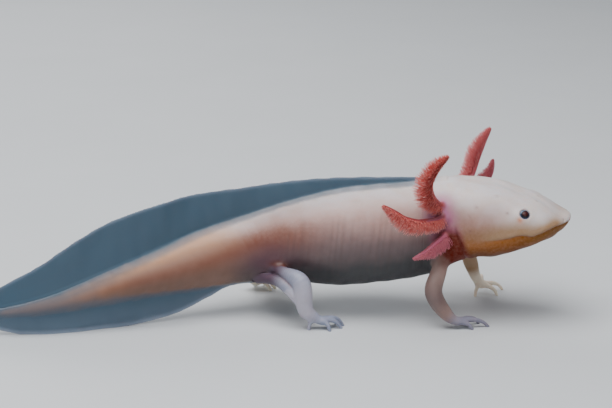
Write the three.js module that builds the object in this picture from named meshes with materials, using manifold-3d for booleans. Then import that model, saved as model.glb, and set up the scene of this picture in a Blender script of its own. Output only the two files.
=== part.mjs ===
// A pale axolotl (Ambystoma mexicanum), life size, standing still with its tail laid on the floor.
// Millimetres: +X towards the snout, +Y towards the animal's left, +Z up, floor at z = 0.
// The body is one lofted form, parted by thin cuts into head, jaw, neck, trunk and tail. Fins, gills,
// eyes and legs are forms of their own, each trimmed to sit a hair off the body that carries it.
import * as THREE from "three";
import { mergeVertices } from "three/addons/utils/BufferGeometryUtils.js";
import Module from "manifold-3d";

const wasm = await Module();
wasm.setup();

// ---- Driving dimensions -------------------------------------------------------------------------

const SNOUT_X = 116.4; // the snout's tip, from the middle of the model's length
const MIDDLE_Y = 3.3; // sideways shift that puts the model's box over the origin
const BODY_LENGTH = 233; // snout to tail tip, along X
const GAP = 0.3; // air between neighbouring nodes
const PROBE = 0.25; // step for measuring a direction along the surface
const SECTION_POWER = 2.15; // 2 is an ellipse, more is squarer
const SNOUT_ROUNDING = { wide: 8.4, top: 3.8, under: 2.9 }; // how far back the snout's curve reaches
const TAIL_ROUNDING = 3;
const HEAD_ROLL = THREE.MathUtils.degToRad(4); // the head leans a little to its right
const NECK_BACK = 50; // the lean has faded out here
const LEAN_FADE = 25;

// Cross-sections of the body from the snout back:
// [distance back, sideways place of the axis, height of the widest line, half width, top, underside]
const BODY = [
  [0, -10.2, 40.0, 9.6, 41.0, 37.5], // snout
  [5, -9.0, 39.0, 12.4, 43.1, 34.2], // nostrils
  [11, -7.5, 37.5, 14.7, 46.9, 31.2],
  [19, -5.6, 36.1, 16.7, 50.1, 27.7], // eyes
  [27, -3.9, 35.1, 18.2, 52.5, 25.3], // corners of the mouth
  [35, -2.5, 34.3, 18.9, 53.5, 24.5], // cheeks
  [42, -1.4, 33.8, 17.6, 53.9, 21.4], // gills
  [49, -0.6, 32.8, 15.4, 53.1, 17.3], // neck
  [57, 0.1, 31.6, 15.9, 51.2, 14.9], // shoulders
  [71, 1.1, 30.4, 17.5, 49.7, 12.6],
  [87, 1.6, 29.5, 17.9, 47.7, 11.2], // belly
  [103, 1.1, 28.5, 15.3, 44.0, 12.6],
  [120, -0.4, 26.2, 11.8, 38.9, 12.8], // hips
  [140, -6.6, 22.8, 8.0, 33.4, 12.0],
  [157, -13.8, 19.5, 5.8, 27.4, 11.4], // tail
  [176, -21.4, 15.8, 4.0, 20.9, 10.3],
  [194, -26.5, 11.7, 2.7, 14.4, 8.8],
  [213, -28.4, 9.0, 1.5, 9.9, 8.1],
  [233, -28.0, 8.2, 0.7, 8.8, 7.6], // tip
];

// Heights of the fins' free edges: [distance back, height]
const UPPER_EDGE = [
  [46, 51.6],
  [54, 53.1],
  [72, 53.3],
  [94, 52.7],
  [118, 50.3],
  [151, 46.9],
  [171, 41.5],
  [185, 34.8],
  [199, 25.7],
  [213, 18.3],
  [233, 8.9],
];
const LOWER_EDGE = [
  [119, 15.0],
  [127, 12.0],
  [138, 6.8],
  [147, 3.0],
  [157, 1.2],
  [168, -0.3],
  [204, -0.3],
  [218, 3.2],
  [233, 7.6],
];
const FIN_THICKNESS = [2.4, 1.2]; // at its front end and at the tail tip
const FIN_POWER = 2.6; // squareness of the blade across its thickness

// Where the body is parted, from the snout back
const PARTS = [
  ["head", -5, 43],
  ["neck", 43, 58],
  ["trunk_front", 58, 88],
  ["trunk_rear", 88, 121],
  ["tail_base", 121, 160],
  ["tail_mid", 160, 200],
  ["tail_tip", 200, 238],
];
const VENT_BACK = 121; // the dorsal fin turns into the tail fin here

// Line of the mouth on the head's right side, as [distance back, height], and the back of the jaw
// below it. The cut leans with the head about a line along the lip.
const MOUTH = [
  [-4, 39.2],
  [3, 39.3],
  [7.5, 39],
  [9.2, 38.5],
  [12.8, 37.05],
  [14.6, 36.4],
  [19.4, 36.7],
  [24, 35.55],
  [27, 35.1],
  [31, 34.5],
];
const LIP = { side: -20, height: 37 };
const JAW_BACK = 33;
const JAW_BOTTOM = 18; // lower than any part of the head

// The eyes: where they sit along the head and round it, and how deep the ball lies in its socket
const EYE = { back: 15, angle: 40.5, radius: 2.3, sunk: 1.3 };

// Gills: the stalk's line as [distance back, sideways, height], the way its fringe points, and the
// fringe's widths at the FRINGE_STATIONS
const GILLS = [
  {
    name: "gill_right_1",
    line: [
      [47.5, -12, 43.6],
      [52.2, -18.5, 49.7],
      [53.6, -22.2, 55.4],
      [52.6, -25, 60],
      [50.4, -27, 64.2],
      [46.8, -28.6, 68.7],
    ],
    fringe: [-1, -0.1, -0.25],
    widths: [5.2, 6.7, 6, 3.4],
  },
  {
    name: "gill_right_2",
    line: [
      [46, -12, 41.5],
      [51.5, -19, 41.3],
      [58, -23.4, 42.2],
      [63, -26, 44.4],
      [67, -27.6, 47.2],
      [71.4, -28.9, 50.4],
    ],
    fringe: [-0.2, 0, -1],
    widths: [4.4, 4.8, 5.6, 2.6],
  },
  {
    name: "gill_right_3",
    line: [
      [44, -11.5, 35.4],
      [47.5, -17.6, 34.6],
      [51.4, -21.6, 32.6],
      [55, -24.6, 30.8],
      [59.8, -27.6, 29.2],
    ],
    fringe: [0.35, 0.45, -0.8],
    widths: [4.4, 4.8, 4.2, 1.6],
  },
  {
    name: "gill_left_1",
    line: [
      [42, 11, 44.5],
      [37, 17.2, 47],
      [34.4, 20.4, 51],
      [32, 23, 56.4],
      [29.7, 25, 61.6],
      [27, 26.5, 66.8],
    ],
    fringe: [-1, 0.1, 0.1],
    widths: [4.2, 4.7, 5.4, 2.8],
  },
  {
    name: "gill_left_2",
    line: [
      [41, 11.5, 41],
      [35, 19.6, 41.6],
      [30, 24.2, 43.8],
      [26.8, 27, 47.8],
      [25.6, 29, 53.6],
    ],
    fringe: [-1, 0, -0.35],
    widths: [3.6, 4.2, 5.2, 2.2],
  },
  {
    name: "gill_left_3",
    line: [
      [41, 11, 35.5],
      [42.4, 18.2, 34.4],
      [45.5, 22.6, 32.4],
      [49, 26, 30.6],
      [53.5, 29, 29],
    ],
    fringe: [0.35, -0.45, -0.8],
    widths: [4.2, 4.5, 4.2, 1.6],
  },
];
const FRINGE_STATIONS = [0.15, 0.35, 0.6, 0.88]; // as shares of the stalk's length
const STALK = [1.9, 0.7]; // radius at the root and near the tip
const FRINGE_THICKNESS = 1.1;

// Legs: the middle line from inside the body to the sole, and its radii. A hind leg has a second
// fold of flesh behind the knee. Each digit is [angle from straight ahead, length, height of its
// arch, height of its tip, root behind the sole].
const LEGS = [
  {
    name: "front_right",
    parts: ["upper_arm", "forearm", "hand"],
    line: [[48, -9, 28], [49.2, -16.8, 22], [51.5, -20.6, 14], [45.4, -21, 4.6], [42.1, -20.8, 2.9]],
    radii: [3.4, 2.9, 3.3, 2.2, 1.5],
    digits: [
      [-14, 5.8, 2.4, 0, 0],
      [11, 12.4, 3.2, 0, 0],
      [37, 10.8, 3.3, 0, 0],
      [68, 8.6, 2.8, 0, 0],
    ],
  },
  {
    name: "front_left",
    parts: ["upper_arm", "forearm", "hand"],
    line: [[41, 9, 26], [36.5, 17.4, 19.5], [34.4, 21, 13.4], [32.2, 23, 6.9], [30, 23.5, 3.7]],
    radii: [3.6, 2.8, 2.8, 2.0, 1.5],
    digits: [
      [-112, 4.6, 3.2, 0, 1.6],
      [-25, 7.2, 3.4, 0, 0],
      [28, 10.6, 3.6, 0, 0],
      [84, 6.6, 5.4, 6.2, 0],
    ],
  },
  {
    name: "hind_right",
    parts: ["thigh", "shank", "foot"],
    line: [
      [114.6, -5, 21],
      [107.6, -15.6, 20.5],
      [101.3, -21.3, 18.3],
      [98.9, -21.4, 6.9],
      [93.2, -21.2, 3.2],
    ],
    radii: [2.4, 2.3, 3.4, 2.8, 1.3],
    fold: [[117.5, -8.6, 15.8], [110.6, -15.2, 17.2], [105.2, -20, 14.8], [101.4, -21.4, 10.2]],
    digits: [
      [-150, 2.4, 3.4, 0, 3.6],
      [-44, 4.2, 2.9, 0, 0],
      [4, 7.6, 3.4, 0, 0],
      [25, 9.2, 3.9, 0, 0],
      [46, 8.2, 3.6, 0, 0],
    ],
  },
  {
    name: "hind_left",
    parts: ["thigh", "shank", "foot"],
    line: [[115, 5, 22], [111.4, 15, 20.8], [108.6, 21.5, 16.6], [121.4, 26.4, 6.6], [119.2, 29.5, 2.9]],
    radii: [2.6, 2.6, 3.4, 2.4, 1.3],
    fold: [[119, 6, 17], [116.8, 14, 15.6], [115, 20, 13.6], [116.6, 24, 11]],
    digits: [
      [-24, 6.8, 3.2, 0, 0],
      [0, 8.2, 3.4, 0, 0],
      [26, 7.8, 3.4, 0, 0],
      [56, 6.8, 3.2, 0, 0],
      [98, 4.8, 2.8, 0, 0],
    ],
  },
];
const FOLD_RADII = [2.2, 2.3, 2.2, 1.9];
const SOLE = [2.3, 2.1, 1.3]; // half length, half width, half thickness
const DIGIT = [1.1, 0.85, 0.7, 0.55]; // radius from the root to the tip

const COLOURS = { skin: 0xe9cfc4, jaw: 0xe6c9a0, fin: 0x8fa3ad, gill: 0xb4473c, eye: 0x2a1c20 };

// ---- Tools --------------------------------------------------------------------------------------

// Reads all columns of a table at a place along its first one, by a cubic through its rows.
function read(table, at) {
  const x = THREE.MathUtils.clamp(at, table[0][0], table[table.length - 1][0]);
  let row = table.length - 2;
  while (row > 0 && table[row][0] > x) row -= 1;
  const span = table[row + 1][0] - table[row][0];
  const t = (x - table[row][0]) / span;
  const rise = (k, column) => {
    const [a, b] = [table[k], table[k + 1]];
    return (b[column] - a[column]) / (b[0] - a[0]);
  };
  const slope = (k, column) => {
    if (k === 0) return rise(0, column);
    if (k === table.length - 1) return rise(k - 1, column);
    const [before, after] = [table[k][0] - table[k - 1][0], table[k + 1][0] - table[k][0]];
    return (rise(k - 1, column) * after + rise(k, column) * before) / (before + after);
  };
  return table[row].slice(1).map((value, index) => {
    const column = index + 1;
    return (
      (2 * t ** 3 - 3 * t ** 2 + 1) * value +
      (t ** 3 - 2 * t ** 2 + t) * span * slope(row, column) +
      (3 * t ** 2 - 2 * t ** 3) * table[row + 1][column] +
      (t ** 3 - t ** 2) * span * slope(row + 1, column)
    );
  });
}

// A place given as distance back from the snout, sideways and up.
function spot([back, side, up]) {
  return new THREE.Vector3(SNOUT_X - back, side - MIDDLE_Y, up);
}

// A manifold solid from a closed three.js geometry.
function solid(geometry) {
  geometry.deleteAttribute("normal");
  geometry.deleteAttribute("uv");
  const merged = mergeVertices(geometry, 1e-4);
  return new wasm.Manifold(
    new wasm.Mesh({
      numProp: 3,
      vertProperties: new Float32Array(merged.attributes.position.array),
      triVerts: new Uint32Array(merged.index.array),
    }),
  );
}

// Bends a sphere into any closed form: place(along, angle) gives the surface, from one end at
// along = 0 to the other at 1, with the angle running round it.
function loft(place, sides, rings) {
  const ball = new THREE.SphereGeometry(1, sides, rings);
  const points = ball.attributes.position;
  for (let i = 0; i < points.count; i += 1) {
    const along = Math.acos(THREE.MathUtils.clamp(points.getY(i), -1, 1)) / Math.PI;
    const pole = along < 1e-6 || along > 1 - 1e-6;
    const angle = pole ? 0 : Math.atan2(points.getZ(i), points.getX(i));
    const p = place(along, angle, pole);
    points.setXYZ(i, p.x, p.y, p.z);
  }
  const made = solid(ball);
  if (made.volume() > 0) return made;
  const index = ball.index.array;
  for (let i = 0; i < index.length; i += 3) [index[i], index[i + 1]] = [index[i + 1], index[i]];
  return solid(ball);
}

// The power curve that squares off a circle: cos or sin raised to 2 / power, with its sign.
function squared(value, power) {
  return Math.sign(value) * Math.abs(value) ** (2 / power);
}

// A quarter-round that rises from 0 at an end to 1 at the given reach.
function rounding(distance, reach) {
  return Math.sqrt(1 - (1 - Math.min(Math.max(distance, 0) / reach, 1)) ** 2);
}

function ball(centre, radius, sides = 10, rings = 7) {
  const geometry = new THREE.SphereGeometry(radius, sides, rings);
  return solid(geometry.translate(centre.x, centre.y, centre.z));
}

// Everything on one side of a plane, as a large box whose one face lies on it.
function half(point, direction, size = 160) {
  const box = new THREE.BoxGeometry(size, size, size);
  box.translate(0, 0, size / 2);
  const turn = new THREE.Quaternion().setFromUnitVectors(
    new THREE.Vector3(0, 0, 1),
    direction.clone().normalize(),
  );
  return solid(box.applyQuaternion(turn).translate(point.x, point.y, point.z));
}

function keepBeyond(body, point, direction) {
  const start = point.clone().addScaledVector(direction.clone().normalize(), GAP / 2);
  return body.intersect(half(start, direction));
}

function largest(body) {
  return body.decompose().reduce((a, b) => (b.volume() > a.volume() ? b : a));
}

const FLOOR = half(new THREE.Vector3(0, 0, 0), new THREE.Vector3(0, 0, -1), 600);

// ---- Body ---------------------------------------------------------------------------------------

// Cross-section of the body: its centre, its sideways and upward directions, and its sizes.
function section(back, grow = 0) {
  const [side, level, wide, top, under] = read(BODY, back);
  const ahead = read(BODY, back - PROBE)[0];
  const behind = read(BODY, back + PROBE)[0];
  const forward = new THREE.Vector3(2 * PROBE, ahead - behind, 0).normalize();
  const left = new THREE.Vector3(-forward.y, forward.x, 0);
  const lean = HEAD_ROLL * THREE.MathUtils.clamp((NECK_BACK - back) / LEAN_FADE, 0, 1);
  const tail = rounding(BODY_LENGTH - back, TAIL_ROUNDING);
  return {
    centre: spot([back, side, level]),
    forward,
    left: left.clone().applyAxisAngle(forward, lean),
    up: new THREE.Vector3(0, 0, 1).applyAxisAngle(forward, lean),
    wide: wide * rounding(back, SNOUT_ROUNDING.wide) * tail + grow,
    rise: (top - level) * rounding(back, SNOUT_ROUNDING.top) * tail + grow,
    drop: (level - under) * rounding(back, SNOUT_ROUNDING.under) * tail + grow,
  };
}

// A point on the body's surface. The angle runs from the animal's left over its back.
function surface(back, angle, grow = 0) {
  const s = section(back, grow);
  const across = s.wide * squared(Math.cos(angle), SECTION_POWER);
  const height = squared(Math.sin(angle), SECTION_POWER) * (Math.sin(angle) > 0 ? s.rise : s.drop);
  return s.centre.addScaledVector(s.left, across).addScaledVector(s.up, height);
}

function bodyForm(grow = 0) {
  const crowding = 1.6; // rings lie closest at the snout
  return loft(
    (along, angle, pole) => {
      const back = BODY_LENGTH * along ** crowding;
      return pole ? section(back).centre : surface(back, angle, grow);
    },
    20,
    36,
  );
}

// The stretch of a body between two distances back, cut square to its axis.
function stretch(body, from, to) {
  const a = section(Math.max(from, 0));
  const b = section(Math.min(to, BODY_LENGTH));
  const start = from < 0 ? spot([from, 0, 0]) : a.centre;
  const end = to > BODY_LENGTH ? spot([to, 0, 0]) : b.centre;
  return keepBeyond(keepBeyond(body, start, a.forward.negate()), end, b.forward);
}

// The block below the mouth line that the lower jaw is cut out with, leaning as the head does.
function jawBlock(lift) {
  const lower = MOUTH.map(([back, height]) => new THREE.Vector2(SNOUT_X - back, height + lift));
  const curve = new THREE.SplineCurve(lower);
  const shape = new THREE.Shape(curve.getPoints(16));
  shape.lineTo(SNOUT_X - JAW_BACK - lift, JAW_BOTTOM);
  shape.lineTo(SNOUT_X + 4, JAW_BOTTOM);
  const block = new THREE.ExtrudeGeometry(shape, { depth: 80, bevelEnabled: false });
  const lip = LIP.side - MIDDLE_Y;
  block.rotateX(Math.PI / 2).translate(0, 40 - lip, -LIP.height).rotateX(HEAD_ROLL);
  return solid(block.translate(0, lip, LIP.height));
}

function eyeCentre(side) {
  const angle = THREE.MathUtils.degToRad(side > 0 ? EYE.angle : 180 - EYE.angle);
  const outside = surface(EYE.back, angle);
  const round = surface(EYE.back, angle + PROBE / 4).sub(surface(EYE.back, angle - PROBE / 4));
  const along = surface(EYE.back - PROBE, angle).sub(surface(EYE.back + PROBE, angle));
  const outward = round.cross(along).normalize();
  if (outward.dot(outside.clone().sub(section(EYE.back).centre)) < 0) outward.negate();
  return outside.addScaledVector(outward, -EYE.sunk);
}

// ---- Fins ---------------------------------------------------------------------------------------

// A thin lens-shaped blade that stands in the body's middle plane, from its axis to the free edge.
function fin(edge) {
  const first = edge[0][0];
  const last = edge[edge.length - 1][0];
  return loft(
    (along, angle, pole) => {
      const back = first + (last - first) * along;
      const s = section(back);
      const [height] = read(edge, back);
      const middle = (height + s.centre.z) / 2;
      const reach = Math.abs(height - s.centre.z) / 2;
      const share = back / BODY_LENGTH;
      const thick = THREE.MathUtils.lerp(FIN_THICKNESS[0], FIN_THICKNESS[1], share) / 2;
      const p = s.centre.clone().setZ(middle);
      if (pole) return p;
      const level = new THREE.Vector3(-s.forward.y, s.forward.x, 0);
      p.addScaledVector(level, thick * squared(Math.cos(angle), FIN_POWER));
      p.z += reach * Math.sin(angle);
      return p;
    },
    8,
    26,
  );
}

// ---- Gills --------------------------------------------------------------------------------------

// One gill: a round stalk in front that tapers to the tip, with its fringe as a thin web behind it.
function gill({ line, fringe, widths }) {
  const curve = new THREE.CatmullRomCurve3(line.map(spot));
  const towards = new THREE.Vector3(...fringe);
  const inner = FRINGE_STATIONS.map((at, index) => [at, widths[index]]);
  const spread = [[0, 0], ...inner, [1, STALK[1] / 2]];
  return loft(
    (along, angle, pole) => {
      const p = curve.getPointAt(along);
      if (pole) return p;
      const tangent = curve.getTangentAt(along);
      const web = towards.clone().addScaledVector(tangent, -towards.dot(tangent)).normalize();
      const face = tangent.clone().cross(web);
      const radius = THREE.MathUtils.lerp(STALK[0], STALK[1], along) * rounding(1 - along, 0.12);
      const [wide] = read(spread, along);
      const [c, s] = [Math.cos(angle), Math.sin(angle)];
      const out = c > 0 ? c * Math.max(wide, radius) : c * radius;
      const thick = c > 0 ? THREE.MathUtils.lerp(radius, FRINGE_THICKNESS / 2, c ** 0.5) : radius;
      return p.addScaledVector(web, out).addScaledVector(face, s * thick);
    },
    8,
    11,
  );
}

// ---- Legs ---------------------------------------------------------------------------------------

// A tube of changing radius along a curve through the given points.
function limbTube(points, radii, sides, rings) {
  const curve = new THREE.CatmullRomCurve3(points, false, "centripetal");
  const frames = curve.computeFrenetFrames(rings);
  let run = 0;
  const girth = points.map((point, index) => {
    run += index ? point.distanceTo(points[index - 1]) : 0;
    return [run, radii[index]];
  });
  return loft(
    (along, angle, pole) => {
      const p = curve.getPointAt(along);
      if (pole) return p;
      const ring = Math.round(along * rings);
      const radius = read(girth, along * run)[0] * rounding(1 - along, 0.12);
      p.addScaledVector(frames.normals[ring], radius * Math.cos(angle));
      return p.addScaledVector(frames.binormals[ring], radius * Math.sin(angle));
    },
    sides,
    rings,
  );
}

// A digit that leaves the sole, arches over, hooks down and stands on its tip. The tip runs on
// below the floor, which cuts it to a small flat.
function digit(sole, heel, [angle, length, arch, end, back]) {
  const turn = THREE.MathUtils.degToRad(angle);
  const way = new THREE.Vector3(Math.cos(turn), Math.sin(turn), 0);
  const root = sole.clone().addScaledVector(heel.clone().sub(sole).normalize(), back);
  const low = end - DIGIT[3];
  const stations = [[0.42, arch], [0.76, low + (arch - low) * 0.72], [1, low]];
  const bends = stations.map(([at, z]) => root.clone().addScaledVector(way, length * at).setZ(z));
  return limbTube([root, ...bends], DIGIT, 6, 6);
}

// The flattened sole that carries the digits.
function soleForm(centre) {
  const geometry = new THREE.SphereGeometry(1, 8, 6);
  geometry.rotateX(Math.PI / 2).scale(...SOLE);
  return solid(geometry.translate(centre.x, centre.y, centre.z));
}

// A whole leg, parted at the elbow or knee and at the wrist or ankle. Each part is a named solid.
function leg({ name, line, radii, fold, digits, parts }, clearance) {
  const points = line.map(spot);
  const [, , bend, joint, end] = points;
  const added = digits.map((each) => digit(end, joint, each));
  if (fold) added.push(limbTube(fold.map(spot), FOLD_RADII, 8, 6));
  const whole = added
    .reduce((a, b) => a.add(b), limbTube(points, radii, 8, 12).add(soleForm(end)))
    .subtract(clearance)
    .subtract(FLOOR);
  const atBend = joint.clone().sub(points[1]);
  const atJoint = end.clone().sub(bend);
  const below = keepBeyond(whole, bend, atBend);
  return [
    [`${parts[0]}_${name}`, keepBeyond(whole, bend, atBend.clone().negate())],
    [`${parts[1]}_${name}`, keepBeyond(below, joint, atJoint.clone().negate())],
    [`${parts[2]}_${name}`, keepBeyond(below, joint, atJoint)],
  ];
}

// ---- The animal ---------------------------------------------------------------------------------

const group = new THREE.Group();

function place(name, body, colour, roughness) {
  const made = largest(body).getMesh();
  const geometry = new THREE.BufferGeometry();
  geometry.setAttribute("position", new THREE.BufferAttribute(made.vertProperties, 3));
  geometry.setIndex(new THREE.BufferAttribute(made.triVerts, 1));
  geometry.computeVertexNormals();
  const material = new THREE.MeshStandardMaterial({ color: colour, roughness, metalness: 0 });
  const mesh = new THREE.Mesh(geometry, material);
  mesh.name = name;
  group.add(mesh);
}

const body = bodyForm();
const clearance = bodyForm(GAP);
const eyes = { eye_left: eyeCentre(1), eye_right: eyeCentre(-1) };

function placeBody() {
  const sockets = Object.values(eyes).map((centre) => ball(centre, EYE.radius + GAP));
  for (const [name, from, to] of PARTS) {
    const part = stretch(body, from, to);
    if (name !== "head") {
      place(name, part, COLOURS.skin, 0.45);
      continue;
    }
    const socketed = sockets.reduce((head, socket) => head.subtract(socket), part);
    place("head", socketed.subtract(jawBlock(GAP)), COLOURS.skin, 0.45);
    place("lower_jaw", socketed.intersect(jawBlock(0)), COLOURS.jaw, 0.45);
  }
}

function placeEyes() {
  for (const [name, centre] of Object.entries(eyes)) {
    place(name, ball(centre, EYE.radius), COLOURS.eye, 0.1);
  }
}

function placeFins() {
  const upper = fin(UPPER_EDGE).subtract(clearance);
  const lower = fin(LOWER_EDGE).subtract(clearance).subtract(FLOOR);
  place("dorsal_fin", stretch(upper, 0, VENT_BACK), COLOURS.fin, 0.4);
  place("tail_fin_upper", stretch(upper, VENT_BACK, BODY_LENGTH + 5), COLOURS.fin, 0.4);
  place("tail_fin_lower", lower, COLOURS.fin, 0.4);
}

function placeGills() {
  for (const each of GILLS) place(each.name, gill(each).subtract(clearance), COLOURS.gill, 0.5);
}

function placeLegs() {
  for (const each of LEGS) {
    for (const [name, part] of leg(each, clearance)) place(name, part, COLOURS.skin, 0.5);
  }
}

placeBody();
placeEyes();
placeFins();
placeGills();
placeLegs();

export default group;
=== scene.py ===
"""A pale axolotl, life size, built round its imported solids.

One skin covers the body, fins, legs and gill stalks. It starts as lofted forms worked out from tables
of sizes, which are joined, drawn onto one soft-edged surface and given their folds and creases. Eyes
and gill filaments are pieces of their own. Lengths are in millimetres until a mesh is made.
"""

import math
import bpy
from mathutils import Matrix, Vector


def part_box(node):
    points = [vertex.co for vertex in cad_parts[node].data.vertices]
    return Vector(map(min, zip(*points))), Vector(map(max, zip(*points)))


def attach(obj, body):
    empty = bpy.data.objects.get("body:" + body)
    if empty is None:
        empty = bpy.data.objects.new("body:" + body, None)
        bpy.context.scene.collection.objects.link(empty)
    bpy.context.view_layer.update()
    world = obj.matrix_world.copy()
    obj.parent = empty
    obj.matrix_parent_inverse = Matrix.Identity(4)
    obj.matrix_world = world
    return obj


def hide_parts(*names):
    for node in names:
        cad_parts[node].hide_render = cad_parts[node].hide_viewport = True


bl_info = {
    "name": "Axolotl",
    "version": (1, 0, 0),
    "blender": (4, 5, 0),
    "location": "3D View > Sidebar > Axolotl",
    "description": "Builds a life-size pale axolotl: skin, eyes, gill filaments and stage",
    "category": "Add Mesh",
}

import bpy
import numpy as np
from mathutils import Vector

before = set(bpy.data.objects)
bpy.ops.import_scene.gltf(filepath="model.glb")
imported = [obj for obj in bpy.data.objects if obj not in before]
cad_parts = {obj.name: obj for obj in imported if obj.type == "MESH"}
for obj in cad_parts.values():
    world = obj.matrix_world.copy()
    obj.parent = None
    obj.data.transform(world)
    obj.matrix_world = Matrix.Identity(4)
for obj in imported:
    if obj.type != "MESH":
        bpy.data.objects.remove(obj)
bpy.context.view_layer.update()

# ---- Sizes, in millimetres ----------------------------------------------------------------------

MM = 0.001

SNOUT_X = 116.4  # the snout's tip, from the middle of the model's length
MIDDLE_Y = 3.3  # the sideways place of the model's middle
BODY_LENGTH = 233.0
PROBE = 0.25  # step for measuring a direction along the body
SECTION_POWER = 2.15  # 2 is an ellipse, more is squarer
SNOUT_ROUNDING = {"wide": 8.4, "top": 3.8, "under": 2.9}
TAIL_ROUNDING = 3.0
HEAD_ROLL = math.radians(4)
NECK_BACK = 50.0
LEAN_FADE = 25.0

# Cross-sections from the snout back:
# distance back, sideways place of the axis, height of the widest line, half width, top, underside
BODY = [
    (0, -10.2, 40.0, 9.6, 41.0, 37.5),
    (5, -9.0, 39.0, 12.4, 43.1, 34.2),
    (11, -7.5, 37.5, 14.7, 46.9, 31.2),
    (19, -5.6, 36.1, 16.7, 50.1, 27.7),
    (27, -3.9, 35.1, 18.2, 52.5, 25.3),
    (35, -2.5, 34.3, 18.9, 53.5, 24.5),
    (42, -1.4, 33.8, 17.6, 53.9, 21.4),
    (49, -0.6, 32.8, 15.4, 53.1, 17.3),
    (57, 0.1, 31.6, 15.9, 51.2, 14.9),
    (71, 1.1, 30.4, 17.5, 49.7, 12.6),
    (87, 1.6, 29.5, 17.9, 47.7, 11.2),
    (103, 1.1, 28.5, 15.3, 44.0, 12.6),
    (120, -0.4, 26.2, 11.8, 38.9, 12.8),
    (140, -6.6, 22.8, 8.0, 33.4, 12.0),
    (157, -13.8, 19.5, 5.8, 27.4, 11.4),
    (176, -21.4, 15.8, 4.0, 20.9, 10.3),
    (194, -26.5, 11.7, 2.7, 14.4, 8.8),
    (213, -28.4, 9.0, 1.5, 9.9, 8.1),
    (233, -28.0, 8.2, 0.7, 8.8, 7.6),
]

# Heights of the fins' free edges by distance back
UPPER_EDGE = [
    (46, 51.6),
    (54, 53.1),
    (72, 53.3),
    (94, 52.7),
    (118, 50.3),
    (151, 46.9),
    (171, 41.5),
    (185, 34.8),
    (199, 25.7),
    (213, 18.3),
    (233, 8.9),
]
LOWER_EDGE = [
    (119, 15.0),
    (127, 12.0),
    (138, 6.8),
    (147, 3.0),
    (157, 1.2),
    (168, -0.3),
    (204, -0.3),
    (218, 3.2),
    (233, 7.6),
]
FIN_THICKNESS = (2.4, 1.2)  # at the snout's end of the body and at the tail's
FIN_POWER = 2.6
FIN_BODY = 0.3  # added to the half thickness of the joined forms, so that the grid keeps them

# The mouth's line on the head's right side, by distance back, and where its corner fades out. It
# leans with the head about a line along the lip: sideways place and height.
MOUTH = [
    (-4, 39.2),
    (3, 39.3),
    (7.5, 39),
    (9.2, 38.5),
    (12.8, 37.05),
    (14.6, 36.4),
    (19.4, 36.7),
    (24, 35.55),
    (27, 35.1),
    (31, 34.5),
]
LIP = (-20.0, 37.0)
MOUTH_CORNER = 29.0

EYE_RADIUS = 2.3
EYE_PARTS = {"eye_left": 1, "eye_right": -1}

# Gills: the stalk's line as distance back, sideways and height, the way its fringe points, the
# fringe's widths at its stations, and how lilac it is rather than orange-red
GILLS = {
    "gill_right_1": (
        [
            (47.5, -12, 43.6),
            (52.2, -18.5, 49.7),
            (53.6, -22.2, 55.4),
            (52.6, -25, 60),
            (50.4, -27, 64.2),
            (46.8, -28.6, 68.7),
        ],
        (-1, -0.1, -0.25),
        (5.2, 6.7, 6.0, 3.4),
        0.0,
    ),
    "gill_right_2": (
        [
            (46, -12, 41.5),
            (51.5, -19, 41.3),
            (58, -23.4, 42.2),
            (63, -26, 44.4),
            (67, -27.6, 47.2),
            (71.4, -28.9, 50.4),
        ],
        (-0.2, 0, -1),
        (4.4, 4.8, 5.6, 2.6),
        0.03,
    ),
    "gill_right_3": (
        [
            (44, -11.5, 35.4),
            (47.5, -17.6, 34.6),
            (51.4, -21.6, 32.6),
            (55, -24.6, 30.8),
            (59.8, -27.6, 29.2),
        ],
        (0.35, 0.45, -0.8),
        (4.4, 4.8, 4.2, 1.6),
        0.75,
    ),
    "gill_left_1": (
        [
            (42, 11, 44.5),
            (37, 17.2, 47),
            (34.4, 20.4, 51),
            (32, 23, 56.4),
            (29.7, 25, 61.6),
            (27, 26.5, 66.8),
        ],
        (-1, 0.1, 0.1),
        (4.2, 4.7, 5.4, 2.8),
        0.3,
    ),
    "gill_left_2": (
        [(41, 11.5, 41), (35, 19.6, 41.6), (30, 24.2, 43.8), (26.8, 27, 47.8), (25.6, 29, 53.6)],
        (-1, 0, -0.35),
        (3.6, 4.2, 5.2, 2.2),
        0.55,
    ),
    "gill_left_3": (
        [(41, 11, 35.5), (42.4, 18.2, 34.4), (45.5, 22.6, 32.4), (49, 26, 30.6), (53.5, 29, 29)],
        (0.35, -0.45, -0.8),
        (4.2, 4.5, 4.2, 1.6),
        0.6,
    ),
}
FRINGE_STATIONS = (0.15, 0.35, 0.6, 0.88)
STALK = (1.9, 0.7)
STALK_CORE = 0.62  # the flesh's share of that radius, the rest being filaments

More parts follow.
